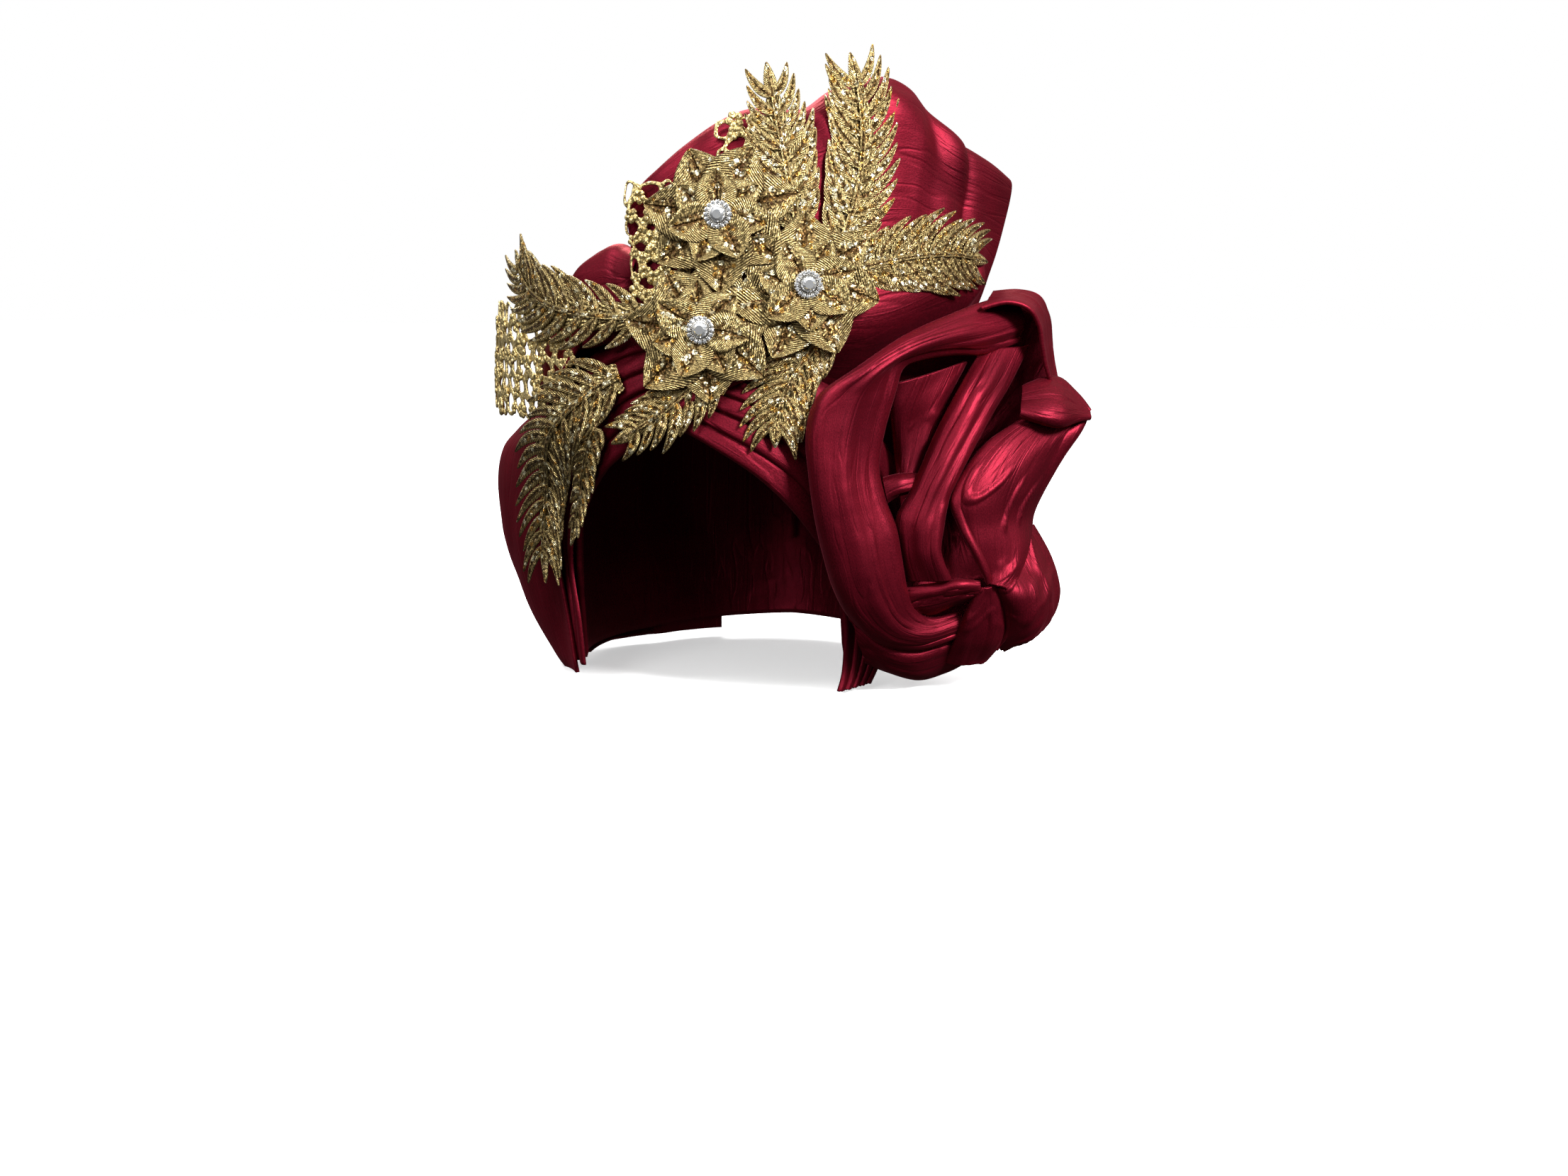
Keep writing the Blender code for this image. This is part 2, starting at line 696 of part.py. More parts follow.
PETAL = [
    (0.28, 0.20, 0.68, 0.56, 0.22, 0.47, 0.02),
    (0.16, 0.15, 0.80, 0.53, 0.17, 0.50, 0.08),
    (0.07, 0.08, 0.90, 0.46, 0.10, 0.53, 0.12),
    (0.02, 0.01, 0.96, 0.39, 0.02, 0.56, 0.14),
    (0.04, -0.05, 0.98, 0.345, -0.05, 0.56, 0.14),
    (0.09, -0.12, 1.00, 0.33, -0.12, 0.60, 0.12),
    (0.135, -0.18, 0.98, 0.28, -0.18, 0.72, 0.08),
    (0.155, -0.215, 0.96, 0.20, -0.22, 0.90, 0.02),
]
PETAL_FLAP = [
    (0.30, 0.29, 0.56, 0.28, 0.22, 0.74, 0.03),
    (0.38, 0.31, 0.48, 0.36, 0.20, 0.72, 0.08),
    (0.45, 0.31, 0.44, 0.43, 0.19, 0.68, 0.08),
    (0.52, 0.265, 0.44, 0.50, 0.20, 0.58, 0.05),
    (0.56, 0.225, 0.47, 0.555, 0.205, 0.50, 0.01),
]
VALLEY = [
    (-0.01, 0.00, 0.86, 0.02, 0.01, 0.86, 0.0),
    (-0.02, -0.08, 0.88, 0.06, -0.06, 0.90, -0.02),
    (-0.05, -0.16, 0.90, 0.11, -0.13, 0.92, -0.04),
    (-0.13, -0.24, 0.94, 0.15, -0.20, 0.93, -0.03),
]
CROSS_FOLD = [
    (-0.15, -0.235, 0.96, -0.13, -0.31, 0.90, 0.04),
    (-0.05, -0.235, 0.97, -0.04, -0.30, 0.89, 0.06),
    (0.05, -0.230, 0.96, 0.05, -0.27, 0.88, 0.06),
    (0.13, -0.225, 0.94, 0.13, -0.245, 0.90, 0.03),
]
LOWER_SASH = [
    (0.135, -0.225, 0.94, 0.185, -0.22, 0.92, 0.02),
    (0.09, -0.29, 0.90, 0.23, -0.29, 0.84, 0.06),
    (0.05, -0.37, 0.84, 0.22, -0.38, 0.76, 0.07),
    (0.02, -0.44, 0.74, 0.17, -0.44, 0.68, 0.05),
]
LOWER_PETAL = [
    (0.21, -0.18, 0.84, 0.35, -0.08, 0.54, 0.04),
    (0.20, -0.21, 0.88, 0.42, -0.17, 0.50, 0.10),
    (0.20, -0.24, 0.88, 0.455, -0.26, 0.48, 0.14),
    (0.22, -0.29, 0.84, 0.43, -0.33, 0.50, 0.14),
    (0.23, -0.35, 0.78, 0.34, -0.385, 0.56, 0.10),
    (0.20, -0.40, 0.74, 0.24, -0.42, 0.62, 0.03),
]
LOWER_TURN = [
    (-0.34, -0.29, 0.96, -0.28, -0.43, 0.86, 0.04),
    (-0.22, -0.37, 0.90, -0.20, -0.46, 0.78, 0.08),
    (-0.10, -0.39, 0.84, -0.08, -0.49, 0.69, 0.10),
    (0.03, -0.37, 0.78, 0.02, -0.475, 0.66, 0.08),
    (0.10, -0.35, 0.72, 0.10, -0.45, 0.64, 0.04),
]
CURL = [
    (0.14, 0.50, 0.68, 0.20, 0.54, 0.38, 0.00),
    (0.23, 0.515, 0.66, 0.30, 0.545, 0.31, -0.02),
    (0.31, 0.50, 0.64, 0.38, 0.53, 0.27, -0.03),
    (0.355, 0.455, 0.60, 0.42, 0.48, 0.25, -0.04),
    (0.37, 0.40, 0.57, 0.43, 0.41, 0.26, -0.04),
    (0.385, 0.35, 0.54, 0.435, 0.35, 0.29, -0.03),
    (0.41, 0.30, 0.52, 0.45, 0.29, 0.32, -0.01),
]
# Turns in the order they are laid: name, table, steps along, steps across, pleats, and depth of a
# pleat as a share of PLEAT_STEP
TURNS = [
    ("rosette_outer_turn", OUTER_TURN, 16, 8, 3, 1.0),
    ("rosette_sash", SASH, 11, 6, 3, 0.7),
    ("rosette_inner_turn", INNER_TURN, 7, 5, 2, 0.7),
    ("rosette_heart", HEART, 4, 4, 0, 0.0),
    ("rosette_petal", PETAL, 10, 7, 2, 0.8),
    ("rosette_petal_flap", PETAL_FLAP, 7, 4, 0, 0.0),
    ("rosette_valley", VALLEY, 5, 4, 2, 0.6),
    ("rosette_cross_fold", CROSS_FOLD, 5, 5, 2, 0.7),
    ("rosette_lower_sash", LOWER_SASH, 6, 5, 2, 0.7),
    ("rosette_lower_petal", LOWER_PETAL, 8, 6, 2, 0.7),
    ("rosette_lower_turn", LOWER_TURN, 7, 5, 2, 0.7),
    ("rosette_curl", CURL, 9, 4, 0, 0.0),
]


def turn_point(row, share, pleats, depth):
    """Point across a turn: from one edge to the other, swollen between, rippled by its pleats."""
    first = rosette_point(*row[0:3])
    last = rosette_point(*row[3:6])
    swell = row[6] * (1 - abs(2 * share - 1) ** 2.6)
    ripple = PLEAT_STEP * depth * sin(pi * share) * cos(2 * pi * pleats * share)
    middle = first.lerp(last, share)
    facing = rosette_point(0, 0, 1) - rosette_point(0, 0, 0)
    return middle + facing * swell + facing.normalized() * ripple


def make_turns(parts):
    for name, table, along, across, pleats, depth in TURNS:
        rows = []
        for step in range(along + 1):
            row = between_rows(table, step / along)
            rows.append([turn_point(row, column / across, pleats, depth)
                         for column in range(across + 1)])
        parts.sheet(name, rows, CLOTH_WALL, SILK)


# Lace leaves: bearing and height of the root, the bend and the tip, half width as a share of
# LEAF_HALF_WIDTH, teeth a side, and lift as a share of LACE_LIFT. Heights are shares as level_of
# reads them.
LEAVES = [
    (23, 0.38, 20, 0.66, 15.8, 1.035, 0.80, 7, 1.1),
    (31, 0.30, 39, 0.66, 32.4, 1.08, 0.98, 8, 0.9),
    (36, 0.22, 53, 0.32, 70.5, 0.25, 1.00, 8, -0.5),
    (30, -0.02, 20, -0.16, 20, -0.32, 0.72, 6, 1.0),
    (9, -0.08, 2, -0.23, -11.7, -0.325, 0.62, 7, 1.9),
    (-7, 0.02, -40, 0.00, -45.4, 0.275, 0.85, 9, 1.1),
    (-12, -0.15, -42, -0.33, -38.3, -0.74, 1.05, 11, 1.3),
    (-17, -0.29, -22, -0.42, -27.9, -0.62, 0.30, 6, 1.0),
]
LEAF_ACROSS = 2
LEAF_CUP = 0.0012


def leaf_spine(leaf, share):
    """Bearing and height along a leaf's spine, on a bent line."""
    root_side, root_up, bend_side, bend_up, tip_side, tip_up = leaf[0:6]
    bearing = blend(blend(root_side, bend_side, share), blend(bend_side, tip_side, share), share)
    up = blend(blend(root_up, bend_up, share), blend(bend_up, tip_up, share), share)
    return bearing, up


def flat_place(bearing, share):
    """Place on the unrolled cylinder: across and up, in metres."""
    return radians(bearing) * WRAP_RADIUS, level_of(share)


def rolled(across, up, lift):
    """Point on the cylinder from its unrolled place."""
    return wrap_point(degrees(across / WRAP_RADIUS), share_of(up), lift)


def leaf_rows(leaf, lift):
    half_width, teeth = leaf[6] * LEAF_HALF_WIDTH, leaf[7]
    steps = 2 * teeth
    rows = []
    for step in range(steps + 1):
        share = step / steps
        x, y = flat_place(*leaf_spine(leaf, share))
        x_on, y_on = flat_place(*leaf_spine(leaf, min(share + 0.03, 1.0)))
        x_off, y_off = flat_place(*leaf_spine(leaf, max(share - 0.03, 0.0)))
        along = Vector((x_on - x_off, y_on - y_off)).normalized()
        beside = Vector((-along.y, along.x))
        body = (0.35 + 0.65 * sin(pi * min(share * 1.5 + 0.18, 1.0) * 0.5)) * (1 - share ** 3) + 0.05
        tooth = 1.0 if step % 2 == 1 else 0.66
        row = []
        for column in range(LEAF_ACROSS + 1):
            side = 2 * column / LEAF_ACROSS - 1
            reach = half_width * body * (blend(1.0, tooth, abs(side)))
            slant = half_width * body * 0.55 * abs(side) * (1.0 if step % 2 == 1 else 0.4)
            place = Vector((x, y)) + beside * side * reach + along * slant * (1 - share)
            cup = LEAF_CUP * (1 - side * side)
            row.append(rolled(place.x, place.y, lift + cup))
        rows.append(row)
    return rows


def make_leaves(parts):
    for number, leaf in enumerate(LEAVES, start=1):
        rows = leaf_rows(leaf, LACE_LIFT * leaf[8])
        parts.sheet(f"leaf_{number}", rows, LACE_WALL, GOLD_LACE)


# Nets: name, then the bearing and height of two opposite corners, and how far the lower side is
# shifted in degrees. Heights are shares as level_of reads them.
NETS = [
    ("net_left", -69, 0.02, -27, -0.27, 6),
    ("net_fan", -12, 0.54, -3, 0.06, 3),
    ("net_top", 7.5, 0.80, 17, 0.64, 0),
]
NET_LIFT = -0.0006
NET_WALL = 0.001


def net_mesh(name, net):
    """Net of six-sided cells on the unrolled cylinder, each a ring of cords round an open hole."""
    left, top = flat_place(net[1], net[2])
    right, bottom = flat_place(net[3], net[4])
    lean = radians(net[5]) * WRAP_RADIUS / (top - bottom)
    pitch = NET_CELL * cos(radians(30))
    columns = int((right - left) / pitch)
    rows = int((top - bottom) / (0.75 * NET_CELL))
    inner = 1 - NET_STRAND / pitch
    form = bmesh.new()
    for row in range(rows + 1):
        for column in range(columns + 1):
            x = left + pitch * (column + 0.5 * (row % 2))
            y = top - 0.75 * NET_CELL * row
            corners = []
            for reach in (1.0, inner):
                for side in range(6):
                    angle = radians(60 * side + 30)
                    across = x + reach * NET_CELL / 2 * cos(angle)
                    up = y + reach * NET_CELL / 2 * sin(angle)
                    across += lean * (top - up)
                    corners.append(form.verts.new(rolled(across, up, NET_LIFT)))
            for side in range(6):
                following = (side + 1) % 6
                form.faces.new((corners[side], corners[following], corners[6 + following],
                                corners[6 + side]))
    bmesh.ops.remove_doubles(form, verts=form.verts, dist=0.0002)
    bmesh.ops.recalc_face_normals(form, faces=form.faces)
    mesh = bpy.data.meshes.new(name)
    form.to_mesh(mesh)
    form.free()
    return mesh


def make_nets(parts):
    for net in NETS:
        parts.lay(net[0], net_mesh(net[0], net), NET_WALL, GOLD_LACE)


# Flowers: name, bearing, height, turn in degrees, and reach as a share of PETAL_REACH
FLOWERS = [
    ("upper", 7.7, 0.44, 15, 1.00),
    ("right", 24.8, 0.155, 40, 1.00),
    ("lower", 5.3, -0.02, 70, 1.00),
]
PETALS = 6
PETAL_STEPS = 4
PETAL_POINT = 1.5
PETAL_NOTCH = 0.44
PETAL_CUP = 0.004
STONE_SEAT = 0.0012


def flower_rows(flower, reach, lift, rings, turn):
    """Petals round a centre, as rings from the middle out, cupped a little."""
    x, y = flat_place(flower[1], flower[2])
    sectors = PETALS * PETAL_STEPS
    rows = []
    for ring in range(rings + 1):
        share = ring / rings
        row = []
        for sector in range(sectors + 1):
            angle = 2 * pi * (sector % sectors) / sectors
            petal = abs(cos(angle * PETALS / 2)) ** PETAL_POINT
            radius = reach * share * (1 - PETAL_NOTCH * share * (1 - petal))
            cup = PETAL_CUP * (0.25 - share) * share * (0.4 + 0.6 * petal)
            at = angle + radians(turn)
            row.append(rolled(x + radius * cos(at), y + radius * sin(at), lift - cup))
        rows.append(row)
    return rows


STONE_PROFILE = [(0.0, 0.0), (1.0, 0.0), (1.0, 0.22), (0.62, 0.40), (0.60, 0.66), (0.36, 1.0), (0.0, 1.0)]
STONE_SIDES = 12


def make_flowers(parts):
    for name, bearing, height, turn, share in FLOWERS:
        flower = (name, bearing, height)
        reach = share * PETAL_REACH
        outer = flower_rows(flower, reach, FLOWER_LIFT, 3, turn)
        parts.sheet("flower_" + name, outer, LACE_WALL, GOLD_LACE)
        inner_lift = FLOWER_LIFT + LACE_WALL + SEAT_GAP
        inner = flower_rows(flower, reach * 0.62, inner_lift, 2, turn + 30)
        parts.sheet("flower_" + name + "_inner", inner, LACE_WALL, GOLD_LACE)
        make_stone(name, bearing, height, inner_lift + LACE_WALL / 2 + SEAT_GAP + STONE_SEAT)


def make_stone(name, bearing, height, lift):
    """Round stone with a table and twelve facets, fused to its halo of small stones."""
    x, y = flat_place(bearing, height)
    centre = rolled(x, y, lift)
    outward = (rolled(x, y, lift + 0.01) - centre).normalized()
    side = (rolled(x + 0.001, y, lift) - rolled(x - 0.001, y, lift)).normalized()
    above = outward.cross(side)
    rows = []
    for radius, rise in STONE_PROFILE:
        row = []
        for step in range(STONE_SIDES + 1):
            angle = 2 * pi * (step % STONE_SIDES) / STONE_SIDES
            spread = side * cos(angle) + above * sin(angle)
            row.append(centre + spread * radius * STONE_RADIUS + outward * rise * STONE_HEIGHT)
        rows.append(row)
    stone = new_object("stone_" + name, grid_mesh("stone_" + name, rows))
    form = bmesh.new()
    form.from_mesh(stone.data)
    bmesh.ops.recalc_face_normals(form, faces=form.faces)
    bmesh.ops.triangulate(form, faces=form.faces)
    form.to_mesh(stone.data)
    form.free()
    stone.data.materials.append(material(RHINESTONE))


def main():
    clear_scene()
    parts = Assembly()
    make_cap(parts)
    make_band(parts, "band_left", BAND_LEFT)
    make_band(parts, "band_right", BAND_RIGHT)
    make_side(parts)
    make_fan(parts)
    make_lobe(parts)
    make_rosette_back(parts)
    make_turns(parts)
    make_flowers(parts)
    make_leaves(parts)
    make_nets(parts)


main()
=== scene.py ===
# %% [markdown]
# # A ready-tied head tie in burgundy raw silk, with a spray of gold lace
#
# The real thing is one long cloth, pleated over the forehead, stood up in a tall fold and turned
# into a rosette over one ear, with a cut-out spray of gold lace sewn on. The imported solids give
# the size and the place of every turn. This script lays fine cloth over them and gives it a finish.

# %% Load the frame and keep its box
from math import acos, cos, degrees, exp, floor, pi, radians, sin

import bmesh
import bpy
from mathutils import Matrix, Vector, noise


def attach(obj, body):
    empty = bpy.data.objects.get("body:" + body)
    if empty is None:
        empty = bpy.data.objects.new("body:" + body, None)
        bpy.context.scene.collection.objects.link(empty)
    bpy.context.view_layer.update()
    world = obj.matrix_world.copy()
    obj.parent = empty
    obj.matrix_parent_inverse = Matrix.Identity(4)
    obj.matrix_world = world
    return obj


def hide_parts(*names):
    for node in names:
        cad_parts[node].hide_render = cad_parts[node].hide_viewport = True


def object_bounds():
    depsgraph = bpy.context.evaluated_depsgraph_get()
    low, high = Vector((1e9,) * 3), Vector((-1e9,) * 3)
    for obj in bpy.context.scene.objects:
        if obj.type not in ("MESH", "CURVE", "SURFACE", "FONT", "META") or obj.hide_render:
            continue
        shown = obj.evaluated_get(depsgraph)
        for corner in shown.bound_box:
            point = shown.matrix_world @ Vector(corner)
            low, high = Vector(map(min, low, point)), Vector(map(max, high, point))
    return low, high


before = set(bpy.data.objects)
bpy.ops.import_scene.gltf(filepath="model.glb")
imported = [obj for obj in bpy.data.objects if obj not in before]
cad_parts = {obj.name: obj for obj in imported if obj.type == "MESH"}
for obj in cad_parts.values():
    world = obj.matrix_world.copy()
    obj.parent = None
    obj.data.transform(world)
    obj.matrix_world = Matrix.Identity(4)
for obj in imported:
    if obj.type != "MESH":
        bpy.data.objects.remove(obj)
cad_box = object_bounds()
print("solids:", len(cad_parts), "box:", [[round(v, 3) for v in corner] for corner in cad_box])

# %% [markdown]
# ## Camera
#
# The photograph was taken a little from the wearer's left and from a little above, so that the
# rosette turns to the lens. A camera is placed by a bearing, a height angle and a distance from the
# point it looks at, which is easier to tune than three loose coordinates.

# %% Camera
LOOK_AT = Vector((0.0227, -0.0118, -0.123))
BEARING, RAISED, AWAY = 15, 8, 1.05


def towards(bearing, raised):
    """Direction from the object to something at a bearing and a height angle, in degrees."""
    side, up = radians(bearing), radians(raised)
    return Vector((sin(side) * cos(up), -cos(side) * cos(up), sin(up)))


def aim(item, at, bearing, raised, away):
    """Put a camera or a lamp at a distance from a point and turn it to that point."""
    item.location = at + towards(bearing, raised) * away
    item.rotation_euler = towards(bearing, raised).to_track_quat("Z", "Y").to_euler()
    bpy.context.scene.collection.objects.link(item)


camera = bpy.data.objects.new("camera", bpy.data.cameras.new("camera"))
camera.data.lens = 52.5
camera.data.sensor_width = 36
aim(camera, LOOK_AT, BEARING, RAISED, AWAY)
bpy.context.scene.camera = camera
print("camera at", [round(v, 3) for v in camera.location])

# %% [markdown]
# ## Light and floor
#
# Raw silk shows its folds by broad highlights, so the lamps are large and few: a key from the right,
# weaker ones from the upper left, the front and behind, and a sky that is pale overhead and dark
# below. A white floor would mirror in the silk and flatten it, so the floor is hidden from every
# ray but the camera's own.

# %% Lamps, sky and floor
LIT_POINT = LOOK_AT + Vector((0, 0, 0.06))


def lamp(name, bearing, raised, away, size, power):
    light = bpy.data.lights.new(name, "AREA")
    light.energy = power
    light.size = size
    aim(bpy.data.objects.new(name, light), LIT_POINT, bearing, raised, away)


lamp("key", 64, 34, 1.3, 0.34, 36)
lamp("edge", -40, 58, 1.3, 0.4, 15)
lamp("front", -10, 22, 1.5, 0.5, 7)
lamp("back", 205, 40, 1.5, 0.6, 16)

sky = bpy.data.worlds.new("sky")
bpy.context.scene.world = sky
sky.use_nodes = True
dome = sky.node_tree
kinds = ("LightPath", "TexCoord", "SeparateXYZ", "MapRange", "Mix")
ray, direction, height, above, seen = [dome.nodes.new("ShaderNode" + kind) for kind in kinds]
backdrop_light = dome.nodes["Background"].inputs
for socket, value in (("From Min", -0.1), ("From Max", 0.95), ("To Min", 0.06), ("To Max", 0.95)):
    above.inputs[socket].default_value = value
seen.inputs["B"].default_value = 1.0
backdrop_light["Color"].default_value = (1, 1, 1, 1)
for output, socket in ((direction.outputs["Generated"], height.inputs[0]),
                       (height.outputs["Z"], above.inputs["Value"]),
                       (ray.outputs["Is Camera Ray"], seen.inputs["Factor"]),
                       (above.outputs["Result"], seen.inputs["A"]),
                       (seen.outputs["Result"], backdrop_light["Strength"])):
    dome.links.new(output, socket)
bpy.context.scene.view_settings.view_transform = "Standard"

FLOOR_LEVEL = cad_box[0][2] - 0.001
form = bmesh.new()
bmesh.ops.create_grid(form, x_segments=1, y_segments=1, size=6)
bmesh.ops.translate(form, verts=form.verts, vec=(0, 0, FLOOR_LEVEL))
floor_mesh = bpy.data.meshes.new("floor")
form.to_mesh(floor_mesh)
form.free()
ground = bpy.data.objects.new("floor", floor_mesh)
ground.visible_glossy = False
ground.visible_diffuse = False
bpy.context.scene.collection.objects.link(ground)
print("floor at", round(FLOOR_LEVEL, 4))

# %% [markdown]
# ## Finishes as expressions
#
# A finish is a node tree, and written out node by node it hides what it does. Here a small class
# wraps a socket, so that Python's own operators add the Math nodes, and one method makes any other
# node. Then a finish reads like the formula it is.

# %% A socket with operators


class Field:
    """A value that varies over a surface."""

    def __init__(self, finish, socket):
        self.finish = finish
        self.socket = socket

    def math(self, operation, *values):
        return self.finish.node("ShaderNodeMath", {"operation": operation}, values)

    def __abs__(self):
        return self.math("ABSOLUTE", self)

    def sine(self):
        return self.math("SINE", self)

    def over(self, low, high):
        """0 below the low value, 1 above the high one, and smooth between."""
        sockets = {"Value": self, "From Min": low, "From Max": high}
        return self.finish.node("ShaderNodeMapRange", {"interpolation_type": "SMOOTHSTEP"}, sockets)


for sign, kind in (("add", "ADD"), ("sub", "SUBTRACT"), ("mul", "MULTIPLY")):
    setattr(Field, f"__{sign}__", lambda self, other, kind=kind: self.math(kind, self, other))
    setattr(Field, f"__r{sign}__", lambda self, other, kind=kind: self.math(kind, other, self))


class Finish:
    """Material whose nodes come from expressions."""

    def __init__(self, name, **constants):
        self.material = bpy.data.materials.new(name)
        self.material.use_nodes = True
        self.tree = self.material.node_tree
        self.shader = self.tree.nodes["Principled BSDF"]
        for socket, value in constants.items():
            self.shader.inputs[socket.replace("_", " ")].default_value = value

    def node(self, kind, settings, values, output=0):
        """Any node, from its settings and the values or links of its sockets."""
        made = self.tree.nodes.new(kind)
        for setting, value in settings.items():
            setattr(made, setting, value)
        pairs = values.items() if isinstance(values, dict) else enumerate(values)
        for key, value in pairs:
            if isinstance(value, Field):
                self.tree.links.new(value.socket, made.inputs[key])
            else:
                made.inputs[key].default_value = value
        return Field(self, made.outputs[output])

    def set(self, **fields):
        for socket, field in fields.items():
            self.tree.links.new(field.socket, self.shader.inputs[socket.replace("_", " ")])

    def place(self, output="Object"):
        return self.node("ShaderNodeTexCoord", {}, {}, output)

    def axis(self, vector, name):
        return self.node("ShaderNodeSeparateXYZ", {}, [vector], name)

    def scaled(self, vector, sizes):
        return self.node("ShaderNodeMapping", {}, {"Vector": vector, "Scale": sizes})

    def grain(self, vector, scale, detail=2.0, output=0):
        sockets = {"Vector": vector, "Scale": scale, "Detail": detail}
        return self.node("ShaderNodeTexNoise", {}, sockets, output)

    def cells(self, vector, scale, output="Distance"):
        return self.node("ShaderNodeTexVoronoi", {}, {"Vector": vector, "Scale": scale}, output)

    def mix(self, share, first, second):
        settings = {"data_type": "RGBA"}
        return self.node("ShaderNodeMix", settings, {0: share, 6: first, 7: second}, 2)

    def bump(self, height, distance, strength):
        sockets = {"Height": height, "Distance": distance, "Strength": strength}
        return self.node("ShaderNodeBump", {}, sockets)

    def vector(self, operation, values):
        return self.node("ShaderNodeVectorMath", {"operation": operation}, values)


print("expressions ready")

# %% [markdown]
# ## Burgundy raw silk
#
# Raw silk has a dull body and a bright, tinted sheen. A metallic share tints the highlight red, as
# the coloured filaments do, and the dark diffuse part stays in the shadows. Along the cloth run
# slubs, where a thread is thick, and long crinkles, where the cloth was folded away. Both follow
# the cloth's own map, in metres, so that they keep their size on every turn.

# %% Silk


def silk_finish(name, deep, bright, shine):
    finish = Finish(name, Metallic=shine, Specular_Tint=(1.0, 0.22, 0.32, 1), Specular_IOR_Level=0.6,
                    Sheen_Weight=0.05, Sheen_Roughness=0.35, Sheen_Tint=(0.75, 0.12, 0.18, 1))
    cloth_place = finish.place("UV")

    def threads(along, across, detail=2.0):
        """Grain with this many waves a metre along the cloth and across it."""
        return finish.grain(finish.scaled(cloth_place, (along, across, 1)), 1.0, detail)

    weave = threads(700, 1900)
    slubs = threads(24, 800, 1.0).over(0.58, 0.78)
    streaks = threads(16, 420)
    folded = threads(14, 90)
    crinkle = 1 - (abs(folded * 2 - 1) * 12).over(0.0, 1.0)
    cross = threads(40, 30)
    soft = finish.grain(finish.place(), 22.0, 3.0)
    speck = threads(1500, 2400, 1.0)
    tone = (soft * 0.5 + weave * 0.30 + speck * 0.35 + streaks * 0.14 - slubs * 0.05).over(0.30, 1.0)
    colour = finish.mix(tone, deep, bright)
    height = weave * 0.18 + slubs * 0.25 + streaks * 0.18 - crinkle * 0.28 + cross * 2.0 + folded * 0.9
    rough = 0.30 + soft * 0.12 + speck * 0.22
    finish.set(Base_Color=colour, Roughness=rough, Normal=finish.bump(height, 0.0009, 0.55))
    return finish.material


SILK = silk_finish("burgundy silk", (0.034, 0.0010, 0.0035, 1), (0.165, 0.0055, 0.015, 1), 0.70)
print("silk:", len(SILK.node_tree.nodes), "nodes")

# %% [markdown]
# ## Gold lace
#
# The lace is satin stitch in metal thread: bundles of thread side by side, so the light breaks into
# fine bars that slant from a petal's edge to its vein; the colour paints this as shade between the
# bars and along the sunken vein. Between them sit sequins, small mirrors that each tilt their own way.
# A cell pattern gives each sequin one colour, from its own orange tint up to a painted glint, and one
# tilt of its normal, which sparkles far better than any bump. Patches of painted shade sit in the
# crevices between threads, and a dark line of painted shade at the edge of a blade parts it from the
# next.

# %% Gold thread and sequins


def lace_finish(name, sequins, stitches, slant, edge=0.75):
    """Stitches run from the vein in the middle of a blade out to its edges; edge sets how dark the painted
    shade along an edge is.
    """
    finish = Finish(name, Metallic=0.85, Roughness=0.35)
    map_place = finish.place("UV")
    space = finish.place()
    along = finish.axis(map_place, "X")
    across = abs(finish.axis(map_place, "Y") * 2 - 1)
    wander = finish.grain(space, 420.0, 2.0)
    border = across.over(0.25, 0.60)
    stitch = ((along - across * slant) * stitches + wander * 2.5).sine() * 0.5 + 0.5
    vein = 1 - across.over(0.02, 0.12)
    # Band along a blade's edge that takes a line of painted shade.
    edge_shade = across.over(0.86, 0.99)
    spangle_colour = finish.cells(space, 420.0, "Color")
    spangle_edge = finish.cells(space, 420.0)
    pick = finish.axis(spangle_colour, "X")
    tint_and_glint_share = finish.axis(spangle_colour, "Y")
    likely = pick - border * 0.35
    spangle = likely.over(1 - sequins, 1.03 - sequins) * (1 - spangle_edge.over(0.42, 0.6))
    glitter = finish.cells(space, 1500.0, "Color")
    # Dark patches of painted shade in the crevices between threads, weaker on the stitched border.
    dark = finish.grain(space, 900.0, 1.0).over(0.56, 0.66)
    # Darker between the stitch bars and along the sunken vein: painted shade; the wander noise is the
    # thread's own tone.
    thread_shade_and_tone = (stitch * 0.75 * border + wander * 0.8 + (1 - border) * 0.05 - vein * 0.3).over(0.30, 1.0)
    thread_colour = finish.mix(thread_shade_and_tone, (0.060, 0.030, 0.006, 1), (0.60, 0.46, 0.20, 1))
    # Each sequin's colour runs from its own orange tint up to a pale painted glint.
    sequin_tint_and_glint = finish.mix(tint_and_glint_share.over(0.3, 0.7), (0.46, 0.24, 0.05, 1), (0.98, 0.88, 0.56, 1))
    glow = finish.mix(spangle, thread_colour, sequin_tint_and_glint)
    # Painted shade: the crevice patches, and a dark line along each blade's edge.
    crevice_and_edge_shade = dark.math("MAXIMUM", dark * (1 - border * 0.6) * 0.85, edge_shade * edge)
    colour = finish.mix(crevice_and_edge_shade, glow, (0.030, 0.010, 0.003, 1))
    lift = finish.bump(stitch * border * 0.9 + wander * 0.9 - vein * 0.8, 0.0006, 0.8)
    tilt = finish.vector("SUBTRACT", [glitter, (0.5, 0.5, 0.5)])
    tilted = finish.vector("ADD", [lift, finish.vector("SCALE", {0: tilt, 3: 0.85})])
    facing = finish.vector("NORMALIZE", [tilted])
    finish.set(Base_Color=colour, Roughness=0.40 - spangle * 0.24, Normal=facing)
    return finish.material


LEAF_LACE = lace_finish("gold leaf lace", 0.50, 95.0, 0.22)
PETAL_LACE = lace_finish("gold petal lace", 0.42, 135.0, -0.30)
NET_LACE = lace_finish("gold net cord", 0.38, 200.0, 0.0, 0.0)
print("lace finishes:", LEAF_LACE.name, PETAL_LACE.name, NET_LACE.name)

# %% Cut stones, their cups and the floor


def polished(name, metal, grain, dark, light, low, spread):
    """Bright surface whose colour and roughness drift a little from spot to spot."""
    finish = Finish(name, Metallic=metal)
    drift = finish.grain(finish.place(), *grain)
    finish.set(Base_Color=finish.mix(drift, dark, light), Roughness=low + drift * spread)
    return finish.material


